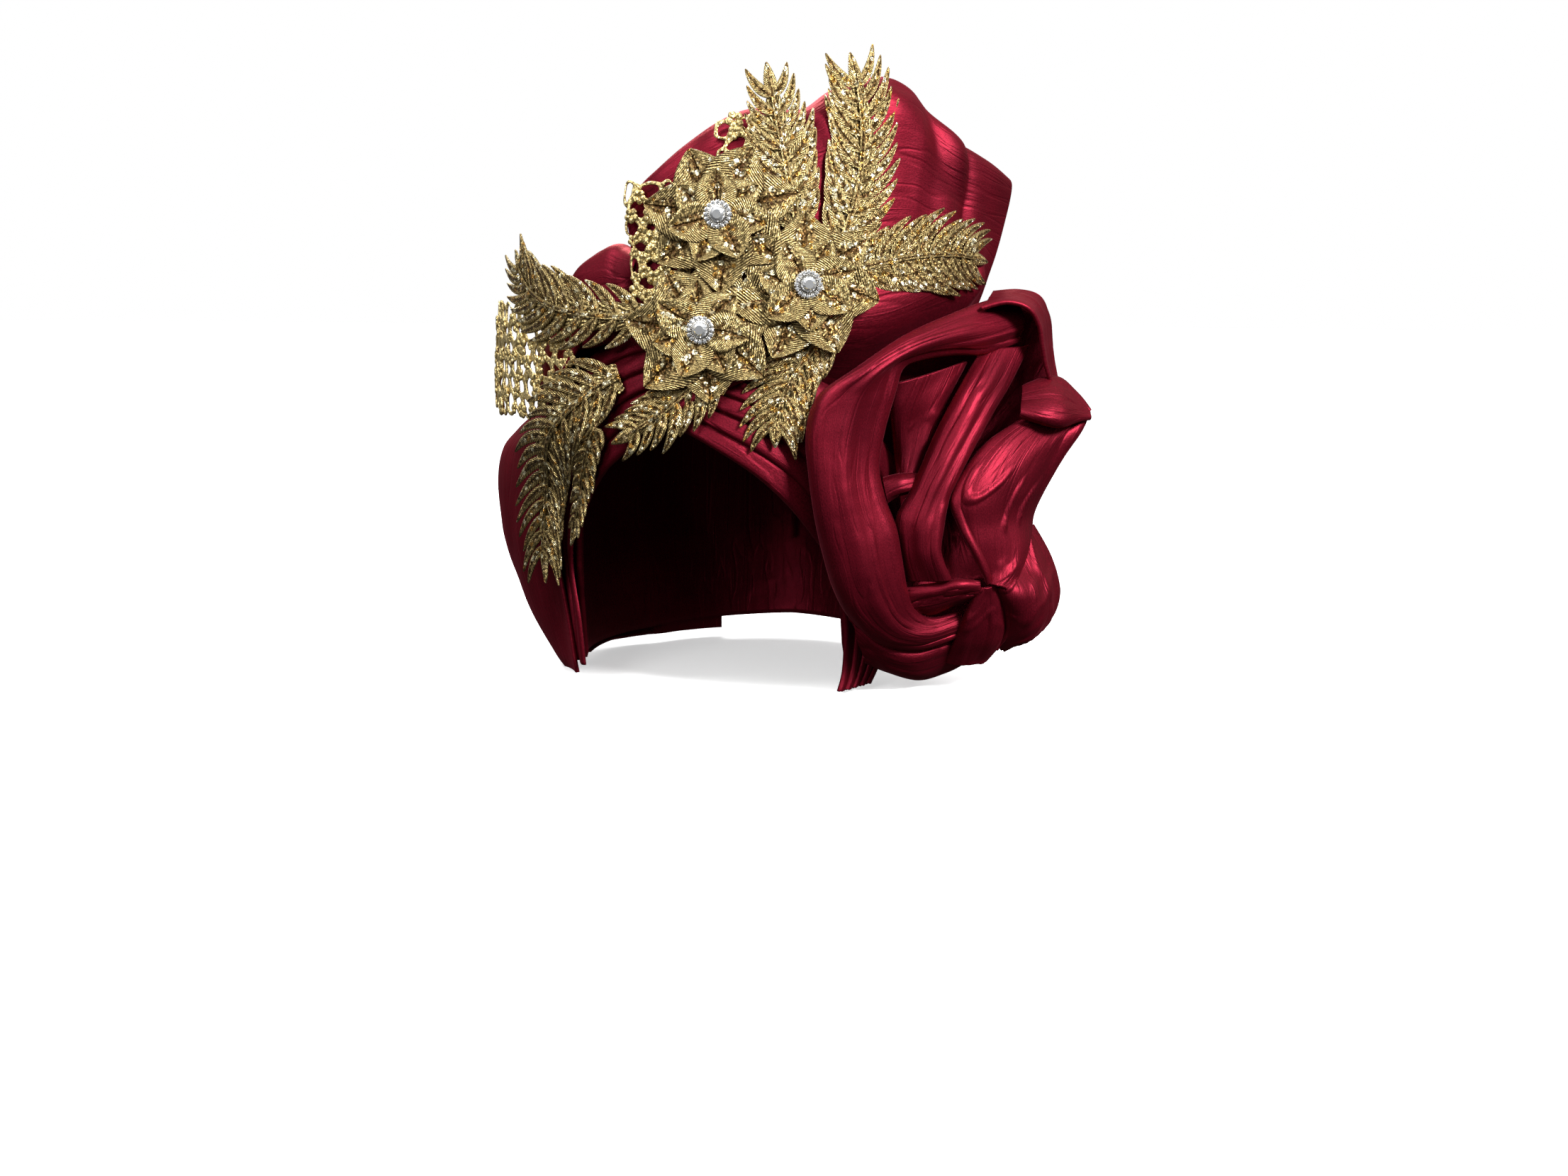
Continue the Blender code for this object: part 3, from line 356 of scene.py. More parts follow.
STONE = polished("cut stone", 0.85, (700.0, 1.0), (0.78, 0.82, 0.88, 1), (1.0, 0.99, 0.96, 1), 0.03, 0.06)
CUP = polished("silver cup", 1.0, (600.0, 2.0), (0.42, 0.39, 0.34, 1), (0.74, 0.72, 0.68, 1), 0.15, 0.2)
backdrop = Finish("pale floor", Roughness=0.9, Emission_Color=(1, 1, 1, 1), Emission_Strength=0.5)
patch = backdrop.grain(backdrop.place(), 3.0)
backdrop.set(Base_Color=backdrop.mix(patch, (0.94, 0.94, 0.94, 1), (0.97, 0.97, 0.97, 1)))
ground.data.materials.append(backdrop.material)
print("stones and floor ready")

# %% [markdown]
# ## The shapes that the cloth follows
#
# Cloth is described by how far it stands off what it lies on. Three carriers do for this one: the
# head, an upright cylinder in front of it for the standing fold and the lace, and the rosette's own
# box of shares. They are the same ones that the solids came from.

# %% Sizes and carriers
HEAD_HALF_WIDTH, HEAD_HALF_LENGTH, HEAD_HEIGHT, HEAD_POWER = 0.0745, 0.094, 0.100, 2.7
HEM_DROP, NECK_TAPER = 0.155, 0.05
CAP_WALL, CLOTH_WALL, LACE_WALL, SEAT_GAP = 0.0025, 0.0018, 0.0012, 0.0005
WRAP_SIDE, WRAP_BACK, WRAP_LEAN = -0.003, 0.028, 0.15
WRAP_RADIUS = HEAD_HALF_LENGTH + WRAP_BACK
BROW_DROP, TEMPLE_DIP = 0.045, 0.010
FAN_RISE, FAN_DEEP, LOBE_RISE, LOBE_DEEP = 0.102, 0.030, 0.032, 0.022
VIEW_TURN = 15
ROSETTE_WIDTH, ROSETTE_HEIGHT, ROSETTE_DEPTH = 0.120, 0.165, 0.080
ROSETTE_SIDE, ROSETTE_DROP = HEAD_HALF_WIDTH + 0.0135, HEM_DROP / 2
LACE_LIFT, FLOWER_LIFT = 0.0012, 0.0046
LEAF_THREAD, PETAL_THREAD, NET_THREAD = 0.0007, 0.0008, 0.0011


def blend(a, b, share):
    return a + (b - a) * share


def ramp(value):
    """Smooth step from 0 to 1."""
    held = min(max(value, 0.0), 1.0)
    return held * held * (3 - 2 * held)


def table(rows, *whole):
    """Shares from rows of hundredths; the columns numbered in whole stay as they are."""
    return [[value if column in whole else value / 100 for column, value in enumerate(row)]
            for row in rows]


def between_rows(rows, place):
    """Row of a table at a place from 0 to 1, on a smooth curve through its rows."""
    span = min(max(place, 0.0), 1.0) * (len(rows) - 1)
    index = min(int(floor(span)), len(rows) - 2)
    share = span - index
    start, end = rows[index], rows[index + 1]
    before = rows[index - 1] if index > 0 else start
    after = rows[index + 2] if index + 2 < len(rows) else end
    found = []
    for p0, p1, p2, p3 in zip(before, start, end, after):
        bend = (p2 - p0) * share
        bend += (2 * p0 - 5 * p1 + 4 * p2 - p3) * share ** 2
        bend += (3 * p1 - p0 - 3 * p2 + p3) * share ** 3
        found.append(p1 + bend / 2)
    return found


def oval(bearing, out, lift, height):
    """Point round the head's axis by its share of the full oval and its height."""
    side = radians(bearing)
    across = (HEAD_HALF_WIDTH + lift) * out * sin(side)
    back = -(HEAD_HALF_LENGTH + lift) * out * cos(side)
    return Vector((across, back, height))


def head_point(bearing, polar, lift):
    """Point over the head by its angle from the crown top, lifted off the head."""
    out = sin(radians(polar)) ** (2 / HEAD_POWER)
    up = cos(radians(polar)) ** (2 / HEAD_POWER)
    return oval(bearing, out, lift, (HEAD_HEIGHT + lift) * up - HEAD_HEIGHT)


def head_level(bearing, drop, lift):
    """Point over the head by its drop below the crown top, as a share of HEM_DROP."""
    level = -drop * HEM_DROP
    rise = (level + HEAD_HEIGHT) / (HEAD_HEIGHT + lift)
    if rise > 0:
        out = max(1 - rise ** HEAD_POWER, 0.0) ** (1 / HEAD_POWER)
    else:
        out = 1 + NECK_TAPER * (level + HEAD_HEIGHT) / (HEM_DROP - HEAD_HEIGHT)
    return oval(bearing, out, lift, level)


def level_of(share):
    """Height over the crown top as a share of FAN_RISE, or below it as a share of HEM_DROP."""
    return share * (FAN_RISE if share > 0 else HEM_DROP)


def share_of(height):
    """Share that level_of turns into this height."""
    return height / (FAN_RISE if height > 0 else HEM_DROP)


def wrap_point(bearing, share, lift):
    """Point on the upright cylinder in front, leaning back above the brow, dipped at the temple."""
    height = level_of(share)
    lean = WRAP_LEAN * max(height + BROW_DROP, 0.0)
    dip = TEMPLE_DIP * exp(-((bearing + 34) / 14) ** 2) * ramp((-BROW_DROP - height) / BROW_DROP * 1.3)
    reach = WRAP_RADIUS + lift - dip
    side = radians(bearing)
    return Vector((WRAP_SIDE + reach * sin(side), WRAP_BACK - reach * cos(side) + lean, height))


def flat_place(bearing, share):
    """Place on the unrolled cylinder: across and up, in metres."""
    return Vector((radians(bearing) * WRAP_RADIUS, level_of(share)))


def rolled(across, up, lift):
    """Point on the cylinder from its unrolled place."""
    return wrap_point(degrees(across / WRAP_RADIUS), share_of(up), lift)


def rosette_point(across, up, out):
    """Point of the rosette in shares of its width, height and depth, turned to face the viewer."""
    side = ROSETTE_SIDE + across * ROSETTE_WIDTH
    away = -out * ROSETTE_DEPTH
    turn = radians(VIEW_TURN)
    return Vector((side * cos(turn) - away * sin(turn), side * sin(turn) + away * cos(turn),
                   up * ROSETTE_HEIGHT - ROSETTE_DROP))


print("brow of the head at", [round(v, 3) for v in head_level(0, 0.3, 0)])

# %% [markdown]
# ## One helper for every turn of cloth
#
# A grid is the honest mesh for cloth: its two directions are the cloth's own length and width. The
# helper makes one, puts each vertex where the turn's function says, and then moves it along its
# normal by the folds. Folds are a noise drawn out along the cloth. Its absolute value has sharp
# valleys and round ridges, as creased silk has. The map is scaled to metres for the weave.

# %% Cloth from a function of two shares


def piece_of(name, form, finish, wall, node, smooth=True, subdivide=0):
    """Object from a bmesh, with its wall, finish and the solid it stands for."""
    mesh = bpy.data.meshes.new(name)
    form.to_mesh(mesh)
    form.free()
    mesh.materials.append(finish)
    if smooth:
        mesh.shade_smooth()
    item = bpy.data.objects.new(name, mesh)
    bpy.context.scene.collection.objects.link(item)
    if wall:
        skin = item.modifiers.new("Wall", "SOLIDIFY")
        skin.thickness = wall
        skin.offset = 0
        skin.use_even_offset = False
    if subdivide:
        finer = item.modifiers.new("Round", "SUBSURF")
        finer.levels = subdivide
        finer.render_levels = subdivide
    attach(item, "root")
    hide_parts(*node)
    return item


def folds(u, v, seed, count, depth, crease):
    """Height of soft folds and sharp creases that run along the cloth."""
    soft = noise.noise(Vector((u * 2.2 + seed, v * count, seed * 1.7)))
    sharp = abs(noise.noise(Vector((u * 3.0 - seed, v * count * 2.1 + u * 1.5, seed * 3.1 + 7))))
    where = ramp(noise.noise(Vector((u * 4 + seed * 2, v * count * 1.1, 5.5))) * 2.5 + 0.4)
    return depth * 1.6 * soft - crease * (1 - min(sharp * 5, 1.0)) * where


def grid_shares(steps):
    """Shares along and across of every vertex of a grid, in the order it is made."""
    along, across = steps
    return [(row / along, column / across) for row in range(along + 1) for column in range(across + 1)]


def cloth(name, surface, steps, flat, fold, wall=CLOTH_WALL):
    """Sheet of silk: flat is its width and length, fold its seed, count, depth and crease."""
    width, length = flat
    form = bmesh.new()
    sheet_map = form.loops.layers.uv.new("cloth")
    bmesh.ops.create_grid(form, x_segments=steps[1], y_segments=steps[0], size=1, calc_uvs=True)
    for vert, (u, v) in zip(form.verts, grid_shares(steps)):
        vert.co = surface(u, v)
    for face in form.faces:
        for loop in face.loops:
            share = loop[sheet_map].uv
            loop[sheet_map].uv = (share.y * length, share.x * width)
    form.normal_update()
    seed, count, depth, crease = fold
    for vert, (u, v) in zip(form.verts, grid_shares(steps)):
        edge = ramp(min(v, 1 - v) * 9) * 0.8 + 0.2
        vert.co += vert.normal * folds(u, v, seed, count, depth, crease) * edge
    bmesh.ops.remove_doubles(form, verts=form.verts, dist=0.00002)
    area = sum(face.calc_area() for face in form.faces)
    item = piece_of(name, form, SILK, wall, [name.replace("silk_", "")])
    print(name, "flat", flat, "share of it", round(area / width / length, 2))


# %% [markdown]
# ## Crown wrap and its hem
#
# The cap of cloth that lies on the head. Its front edge is the face opening, given by bearing.
# Behind, where the photograph does not look, the cloth is gathered in plain soft folds.

# %% Crown wrap
BACK_GATHER = 0.0022
# Bearing and drop of the hem
CAP_HEM = table([
    (-180, 97), (-120, 99), (-60, 99), (-56, 97), (-54, 70), (-51, 60), (-40, 48), (-28, 38), (-14, 29),
    (0, 27), (12, 32), (24, 39.5), (36, 49), (46, 61), (53, 72), (57, 97), (62, 99), (120, 99),
    (180, 97),
], 0)


def on_line(rows, key):
    """Second column of a table at a value of its first one, in straight runs."""
    for start, end in zip(rows, rows[1:]):
        if key <= end[0]:
            return blend(start[1], end[1], (key - start[0]) / (end[0] - start[0]))
    return rows[-1][1]


def crown(u, v):
    bearing = -180 + 360 * v
    rise = (HEAD_HEIGHT - on_line(CAP_HEM, bearing) * HEM_DROP) / HEAD_HEIGHT
    if rise > 0:
        reach = degrees(acos(min(rise ** (HEAD_POWER / 2), 1.0))) / 90
    else:
        reach = 1 - rise * HEAD_HEIGHT / (HEM_DROP - HEAD_HEIGHT)
    at = reach * u
    behind = ramp((abs(bearing) - 90) / 50) * sin(pi * u)
    fold = BACK_GATHER * behind * (0.5 - 0.5 * cos(radians(bearing) * 9))
    lift = CAP_WALL / 2 + fold
    if at <= 1:
        return head_point(bearing, 90 * at, lift)
    return head_level(bearing, (HEAD_HEIGHT + (at - 1) * (HEM_DROP - HEAD_HEIGHT)) / HEM_DROP, lift)


cloth("silk_crown_wrap", crown, (46, 180), (0.46, 0.17), (3, 16, 0.0000, 0.0004),
      CAP_WALL)

# %% [markdown]
# ## Bands over the forehead
#
# Two bands of laid pleats cross above the brow. Each pleat lies like a shingle, with its folded edge
# towards the face, a thin lit ridge and a dark line below it. The section across a band is sampled
# more closely at the folds, so that they stay crisp.

# %% Bands
BAND_STAND, PLEAT_STEP, PLEATS = 0.018, 0.0017, 5
# Bearing, drop and stand of a band's lower edge, then of its upper edge
BAND_LEFT = table([
    (-47, 99, 24, -80, 97, 40), (-48, 85, 24, -80, 80, 45), (-52, 70, 24, -78, 60, 60),
    (-46, 58, 24, -68, 41, 80), (-40, 51, 25, -60, 30, 85), (-31, 43, 27, -50, 19, 90),
    (-22, 37, 30, -40, 10, 92), (-14, 32, 34, -30, 5, 94), (-7, 28, 40, -20, 3, 96),
    (3, 22, 60, -10, 3, 102), (10, 19, 70, 0, 2, 110), (18, 16, 80, 9, 0, 115),
    (26, 13, 90, 20, -1, 125), (36, 10, 105, 33, -2, 135),
], 0, 3)
BAND_RIGHT = table([
    (-16, 26, 22, -8, 10, 55), (-7, 28, 22, 4, 10, 70), (2, 30, 22, 14, 10, 76),
    (13, 35, 22, 26, 12, 80), (24, 41.5, 22, 38, 15, 80), (34, 50, 22, 50, 20, 80),
    (44, 61.5, 22, 65, 34, 70), (49, 68.5, 22, 71, 44, 60), (52, 77, 22, 75, 56, 50),
    (54, 87, 22, 76, 70, 42), (54, 98, 24, 72, 93, 38), (52, 104, 28, 66, 103, 36),
], 0, 3)
# Section of one pleat: place across it, and height in shares of PLEAT_STEP
PLEAT = table([
    (0, 55), (4, 95), (10, 108), (20, 100), (40, 78), (62, 52), (82, 22), (94, -5), (97.5, -35), (99, -40),
])
PLEAT_SHARES = [(pleat + share) / PLEATS for pleat in range(PLEATS) for share, height in PLEAT] + [1.0]
PLEAT_HEIGHTS = [height for pleat in range(PLEATS) for share, height in PLEAT] + [0.2]
BAND_ACROSS = len(PLEAT_SHARES) - 1


def band(rows):
    def surface(u, v):
        index = round(v * BAND_ACROSS)
        share = PLEAT_SHARES[index]
        row = between_rows(rows, u)
        share += 0.018 * noise.noise(Vector((u * 7, index // len(PLEAT) * 2.3, 4.4))) * sin(pi * share)
        bearing, drop = blend(row[0], row[3], share), blend(row[1], row[4], share)
        lift = BAND_STAND * blend(row[2], row[5], share) + PLEAT_STEP * (PLEAT_HEIGHTS[index] - 0.3)
        return head_level(bearing, drop, lift)

    return surface


cloth("silk_band_left", band(BAND_LEFT), (150, BAND_ACROSS), (0.062, 0.235), (11, 5, 0.0003, 0.0002))
cloth("silk_band_right", band(BAND_RIGHT), (150, BAND_ACROSS), (0.056, 0.22), (23, 5, 0.0003, 0.0002))

# %% [markdown]
# ## Full side
#
# Over one ear the cloth swells out in a soft bag before it is tucked under. It is wide and nearly
# plain, so it gets few, long and shallow folds.

# %% Full side
SIDE_FULL, SIDE_BACK, SIDE_SEAT, SIDE_RIPPLE = 0.037, -152, 0.0061, 0.0035
# Drop, bearing of the front edge, lift there and at the side, and layers of cloth below
SIDE_ROWS = table([
    (3, -34, 10, 10, 0), (-2, -33, 48, 50, 0), (-3.5, -34, 73, 88, 1.5), (6, -38, 70, 90, 1.8),
    (19, -46, 63, 78, 1.2), (27, -55, 52, 76, 0.5), (33, -57, 48, 98, 0), (39, -58, 42, 118, 0),
    (48, -58, 36, 125, 0), (59, -57, 32, 120, 0), (73, -56, 28, 108, 0), (87, -54, 24, 80, 0),
    (98, -52, 22, 42, 0), (102, -52, 20, 24, 0),
], 1, 4)


def full_side(u, v):
    drop, front, front_lift, side_lift, layers = between_rows(SIDE_ROWS, u)
    bearing = blend(front, SIDE_BACK, v ** 1.15)
    rise, fall = ramp((front - bearing) / 30), ramp((bearing - SIDE_BACK) / 48)
    lift = SIDE_FULL * blend(front_lift, side_lift, rise) * fall
    lift += SIDE_RIPPLE * rise * fall * sin(radians(bearing * 7 + drop * 160))
    return head_level(bearing, drop, max(lift, SIDE_SEAT + layers * (CLOTH_WALL + SEAT_GAP)))


cloth("silk_side_drape", full_side, (110, 90), (0.215, 0.215), (31, 2, 0.0030, 0.0008))

# %% [markdown]
# ## Standing fold and small lobe
#
# The tall fold is a sheet that goes up in front, over a soft roll and down behind. Its section is
# found for each bearing and drawn as a smooth curve, and at both ends the front is shut against
# the back.

# %% Standing folds
# Bearing, height, fullness and flare, and the angle from the crown top where the back ends
FAN_ROWS = table([
    (-13, 46, 20, 0, 52), (-11, 56, 30, 0, 47), (-7, 64, 40, 2, 40), (-2, 73, 55, 0, 32),
    (5, 82, 70, 3, 28), (12, 87, 75, 0, 25), (19, 86, 75, -3, 23), (25, 86, 75, 3, 22),
    (32, 94, 80, 0, 22), (41, 99, 80, 4, 23), (48, 96, 75, -2, 26), (54, 87, 65, -8, 29),
    (61, 78, 55, 2, 36), (68, 72, 45, -10, 43), (75, 66, 35, 2, 51), (82, 60, 20, 6, 60),
], 0, 4)
# Bearing, height, fullness and drop of the foot
LOBE_ROWS = table([
    (-31, 50, 30, 8.5), (-28, 72, 45, 8), (-24, 90, 70, 7), (-20, 102, 85, 6), (-17, 96, 80, 5),
    (-14, 88, 60, 4.5), (-12, 82, 40, 4),
], 0)
# How far the front is shut against the back at an end, from the foot up
SHUT_PARTS = (1.0, 0.9, 0.75, 0.4)
FAN_SHUT_PARTS = (1.0, 0.55, 0.35, 0.2)


def fold_section(bearing, height, full, flare, foot, end, base, shut, parts=SHUT_PARTS):
    """Section of a standing fold: from its foot up the front, over a soft roll, down to its end."""
    top, roll = level_of(height), full / 2
    stand = -LACE_LIFT - CLOTH_WALL
    front = [foot]
    for share in (0.0, 0.35, 0.7):
        rise = share_of(blend(base, top - roll, share))
        front.append(wrap_point(bearing, rise, stand + flare * share))
    over = []
    for angle in (0, pi / 3, 2 * pi / 3, pi):
        rise = (top - roll * (1 - sin(angle))) / FAN_RISE
        over.append(wrap_point(bearing, rise, flare + stand - roll * (1 - cos(angle))))
    back = []
    for share in (0.35, 0.7, 1.0):
        point = over[-1].lerp(end, share)
        point.z -= 0.12 * (over[-1].z - end.z) * sin(pi * share)
        back.append(point)
    opposite = [back[2], back[1], back[0], over[-1]]
    closing = [point.lerp(other, shut * part) for point, other, part in zip(front, opposite, parts)]
    return closing + over + back


def shut_share(u, steps):
    return 0.88 * max(ramp(1 - u * steps / 2), ramp(1 - (1 - u) * steps / 2))


def tall_fold(u, v):
    bearing, height, full, flare, polar = between_rows(FAN_ROWS, u)
    base = FAN_RISE * blend(-0.03, 0.10, ramp((bearing - 35) / 30))
    foot_lift = CAP_WALL + 0.0035 * ramp((50 - bearing) / 60)
    foot = head_level(bearing * 1.12, 0.16 + 0.10 * ramp((bearing - 30) / 40), foot_lift)
    end = head_point(bearing * 1.18, polar, CAP_WALL)
    section = fold_section(bearing, height, FAN_DEEP * full, FAN_DEEP * flare, foot, end, base,
                           shut_share(u, 15), FAN_SHUT_PARTS if bearing > 35 else SHUT_PARTS)
    return Vector(between_rows(section, v))


# Creases of the tall fold: points by height and bearing, then width in degrees and how far the cloth
# moves out, or in where it is below zero
CREASES = [
    ([(0.102, 40.9), (0.093, 49), (0.078, 54.9), (0.063, 58.6), (0.049, 62.8), (0.030, 66)], 3.4, -0.0018),
    ([(0.100, 35.0), (0.093, 43), (0.078, 49.0), (0.063, 52.6), (0.049, 57.0), (0.030, 60)], 4.2, 0.0012),
    ([(0.080, 66.0), (0.056, 65.5), (0.043, 65.0), (0.025, 68.5), (0.005, 67.0)], 1.8, -0.0018),
    ([(0.080, 70.0), (0.056, 69.5), (0.043, 69.0), (0.025, 72.5), (0.005, 71.0)], 3.4, 0.0012),
    ([(0.092, 25.5), (0.067, 33.0), (0.045, 37.0)], 2.6, 0.0014),
    ([(0.092, 28.5), (0.067, 36.0), (0.045, 40.0)], 2.4, -0.0014),
    ([(0.086, 2.0), (0.060, 0.0), (0.030, -2.0)], 3.0, -0.0014),
]


def creased(bearing, height):
    """How far the front of the tall fold moves out at a bearing and a height."""
    total = 0.0
    for line, width, depth in CREASES:
        for (top, first), (bottom, last) in zip(line, line[1:]):
            if bottom <= height <= top:
                middle = blend(last, first, (height - bottom) / (top - bottom))
                fade = ramp((height - line[-1][0]) / 0.012)
                total += depth * fade * exp(-((bearing - middle) / width) ** 2)
    return total


def creased_fold(u, v):
    point = tall_fold(u, v)
    bearing = between_rows(FAN_ROWS, u)[0]
    outward = Vector((sin(radians(bearing)), -cos(radians(bearing)), 0))
    return point + outward * creased(bearing, point.z) * ramp((0.58 - v) / 0.12)


def small_fold(u, v):
    bearing, height, full, drop = between_rows(LOBE_ROWS, u)
    foot = wrap_point(bearing, -drop, -0.006)
    end = head_point(bearing * 0.6, 22, CAP_WALL + SEAT_GAP)
    section = fold_section(bearing, height * LOBE_RISE / FAN_RISE, LOBE_DEEP * full, -0.004, foot, end,
                           -drop * HEM_DROP, shut_share(u, 7))
    return Vector(between_rows(section, v))


cloth("silk_top_fan", creased_fold, (150, 90), (0.22, 0.19), (41, 1.6, 0.0026, 0.0008))
cloth("silk_small_lobe", small_fold, (60, 60), (0.09, 0.052), (43, 2, 0.0014, 0.0006))

# %% [markdown]
# ## Rosette
#
# A wide strip of the same cloth is wound on itself over the ear. Each turn has an outer and an inner
# edge, and the cloth swells between them. The tables give both edges of every turn in shares of the
# rosette's width, height and depth, from the gathered back to the curl on top.

# %% Rosette tables
# Points of the rim of the gathered back
ROSETTE_RIM = table([
    (-44, 18, 108), (-44, 2, 110), (-42, -12, 106), (-34, -28, 96), (-20, -42, 76), (0, -45, 60),
    (22, -39, 52), (40, -31, 38), (41, -19, 36), (32, -6, 44), (40, 5, 44), (50, 20, 34), (43, 33, 26),
    (41, 45, 20), (28, 50.5, 27), (8, 46, 54), (-12, 40, 84), (-32, 31, 102), (-44, 18, 108),
])
# Each turn: pleats and their depth, steps along and across, flat width and length, the seed, count,
# depth and crease of its folds, then rows of hundredths, with a point of its outer edge, a point of
# its inner edge and the swell between them
TURNS = {
    "outer_turn": (2, 0.0010, (150, 60), (0.044, 0.245), (51, 1.5, 0.0034, 0.0008), [
        (31, 53, 36, 30, 41, 46, 4), (18, 52, 52, 16, 38, 62, 10), (3, 48.5, 74, 4, 38, 76, 12),
        (-15, 43, 98, -8, 37, 90, 12), (-32, 35, 114, -15, 35, 98, 12), (-45, 28, 118, -18, 29, 102, 12),
        (-49, 19, 118, -22, 19, 104, 14), (-48, 8, 118, -24, 10, 106, 15),
        (-46, -2, 117, -22, 2, 108, 15), (-43, -12, 114, -18, -6, 108, 15),
        (-39, -22, 110, -16, -14, 106, 15), (-33, -30, 104, -14, -22, 102, 14),
        (-22, -37, 98, -11, -28, 97, 10), (-8, -39, 92, -4, -31, 90, 7), (8, -36, 84, 6, -30, 82, 3),
    ]),
    "sash": (2, 0.0010, (110, 44), (0.030, 0.115), (53, 1.4, 0.0016, 0.0008), [
        (14, 38, 60, 33, 40, 42, 2), (8, 31, 72, 25, 30, 58, 7), (3, 25, 80, 19, 24, 70, 8),
        (-3, 17, 86, 12, 16, 82, 8), (-8, 9, 92, 5, 7, 92, 8), (-12, 3, 96, 1, 1, 97, 8),
        (-17, -4, 100, -1, -6, 102, 7), (-16, -12, 100, -2, -13, 104, 5),
        (-13, -20.5, 97, 2, -20, 100, 3),
    ]),
    "inner_turn": (1, 0.0008, (70, 44), (0.028, 0.046), (55, 1.5, 0.0016, 0.0008), [
        (-17, 31, 90, 9, 36, 62, 3), (-19, 24, 86, 3, 28, 68, 6), (-18, 17, 80, -3, 19, 74, 6),
        (-17, 10, 78, -8, 9, 80, 5), (-16, 5, 84.5, -11, 4, 88, 2),
    ]),
    "heart": (0, 0.0, (36, 24), (0.012, 0.017), (57, 1.2, 0.0006, 0.0003), [
        (-22, 6, 92, -21, 0, 96, 4), (-16, 7, 91, -16, 2, 93, 6), (-9, 7, 88, -10, 3, 91, 4),
    ]),
    "petal": (1, 0.0010, (110, 70), (0.055, 0.08), (59, 1.8, 0.0046, 0.0014), [
        (28, 20, 68, 56, 22, 47, 2), (16, 15, 80, 53, 17, 50, 8), (7, 8, 90, 46, 10, 53, 12),
        (2, 1, 96, 39, 2, 56, 14), (4, -5, 98, 34.5, -5, 56, 14), (9, -12, 100, 33, -12, 60, 12),
        (13.5, -18, 98, 28, -18, 72, 8), (15.5, -21.5, 96, 20, -22, 90, 2),
    ]),
    "petal_flap": (0, 0.0, (60, 40), (0.027, 0.034), (61, 1.2, 0.0012, 0.0004), [
        (30, 29, 56, 28, 22, 74, 3), (38, 31, 48, 36, 20, 72, 8), (45, 31, 44, 43, 19, 68, 8),
        (52, 26.5, 44, 50, 20, 58, 5), (56, 22.5, 47, 55.5, 20.5, 50, 1),
    ]),
    "valley": (1, 0.0008, (60, 40), (0.022, 0.042), (63, 1.8, 0.0014, 0.0008), [
        (-1, 0, 86, 2, 1, 86, 0), (-2, -8, 88, 6, -6, 90, -2), (-5, -16, 90, 11, -13, 92, -4),
        (-13, -24, 94, 15, -20, 93, -3),
    ]),
    "cross_fold": (1, 0.0004, (60, 36), (0.016, 0.038), (65, 1.5, 0.0008, 0.0005), [
        (-15, -22.5, 96, -13, -31, 90, 4), (-5, -21.5, 98, -4, -30, 89, 6), (5, -20.5, 98, 5, -27, 88, 6),
        (13, -21, 95, 13, -24.5, 90, 3),
    ]),
    "lower_sash": (1, 0.0008, (70, 44), (0.023, 0.047), (67, 1.5, 0.0012, 0.0006), [
        (13.5, -22.5, 94, 18.5, -22, 92, 2), (9, -29, 90, 23, -29, 84, 6), (5, -37, 84, 22, -38, 76, 7),
        (2, -44, 74, 17, -44, 68, 5),
    ]),
    "lower_petal": (1, 0.0009, (80, 60), (0.040, 0.06), (69, 1.7, 0.0036, 0.0012), [
        (21, -18, 84, 35, -8, 54, 4), (20, -21, 88, 42, -17, 50, 10), (20, -24, 88, 45.5, -26, 48, 14),
        (22, -29, 84, 43, -33, 50, 14), (23, -35, 78, 34, -38.5, 56, 10), (20, -40, 74, 24, -42, 62, 3),
    ]),
    "lower_turn": (1, 0.0009, (70, 40), (0.022, 0.062), (71, 1.5, 0.0016, 0.0008), [
        (-34, -29, 96, -28, -43, 86, 4), (-22, -37, 90, -20, -46, 78, 8), (-10, -39, 84, -8, -49, 69, 10),
        (3, -37, 78, 2, -47.5, 66, 8), (10, -35, 72, 10, -45, 64, 4),
    ]),
    "curl": (0, 0.0, (80, 36), (0.028, 0.055), (73, 1.4, 0.0008, 0.0004), [
        (14, 50, 68, 20, 54, 38, 0), (23, 51.5, 66, 30, 54.5, 31, -2), (31, 50, 64, 38, 53, 27, -3),
        (35.5, 45.5, 60, 42, 48, 25, -4), (37, 40, 57, 43, 41, 26, -4), (38.5, 35, 54, 43.5, 35, 29, -3),
        (41, 30, 52, 45, 29, 32, -1),
    ]),
}

# %% Rosette turns
GATHERS, GATHER_DEPTH = 11, 0.012


def rosette_back(u, v):
    rim = between_rows(ROSETTE_RIM, v)
    gather = GATHER_DEPTH * sin(pi * u) * cos(radians(v * 360 * GATHERS))
    out = blend(0.16, rim[2], u ** 1.7) - gather
    return rosette_point(blend(0.02, rim[0], u), blend(0.0, rim[1], u), out)


cloth("silk_rosette_back", rosette_back, (50, 150), (0.165, 0.118), (49, 6, 0.0006, 0.0005))

FACING = rosette_point(0, 0, 1) - rosette_point(0, 0, 0)


def turn_surface(rows, pleats, depth):
    def surface(u, v):
        row = between_rows(rows, u)
        first, last = rosette_point(*row[0:3]), rosette_point(*row[3:6])
        swell = row[6] * (1 - abs(2 * v - 1) ** 3.2) ** 0.75
        ripple = depth * sin(pi * v) * cos(2 * pi * pleats * v) * ramp(u * 6) * ramp((1 - u) * 4)
        return first.lerp(last, v) + FACING * swell + FACING.normalized() * ripple

    return surface


for turn, (pleats, depth, steps, flat, fold, rows) in TURNS.items():
    cloth("silk_rosette_" + turn, turn_surface(table(rows), pleats, depth), steps, flat, fold)

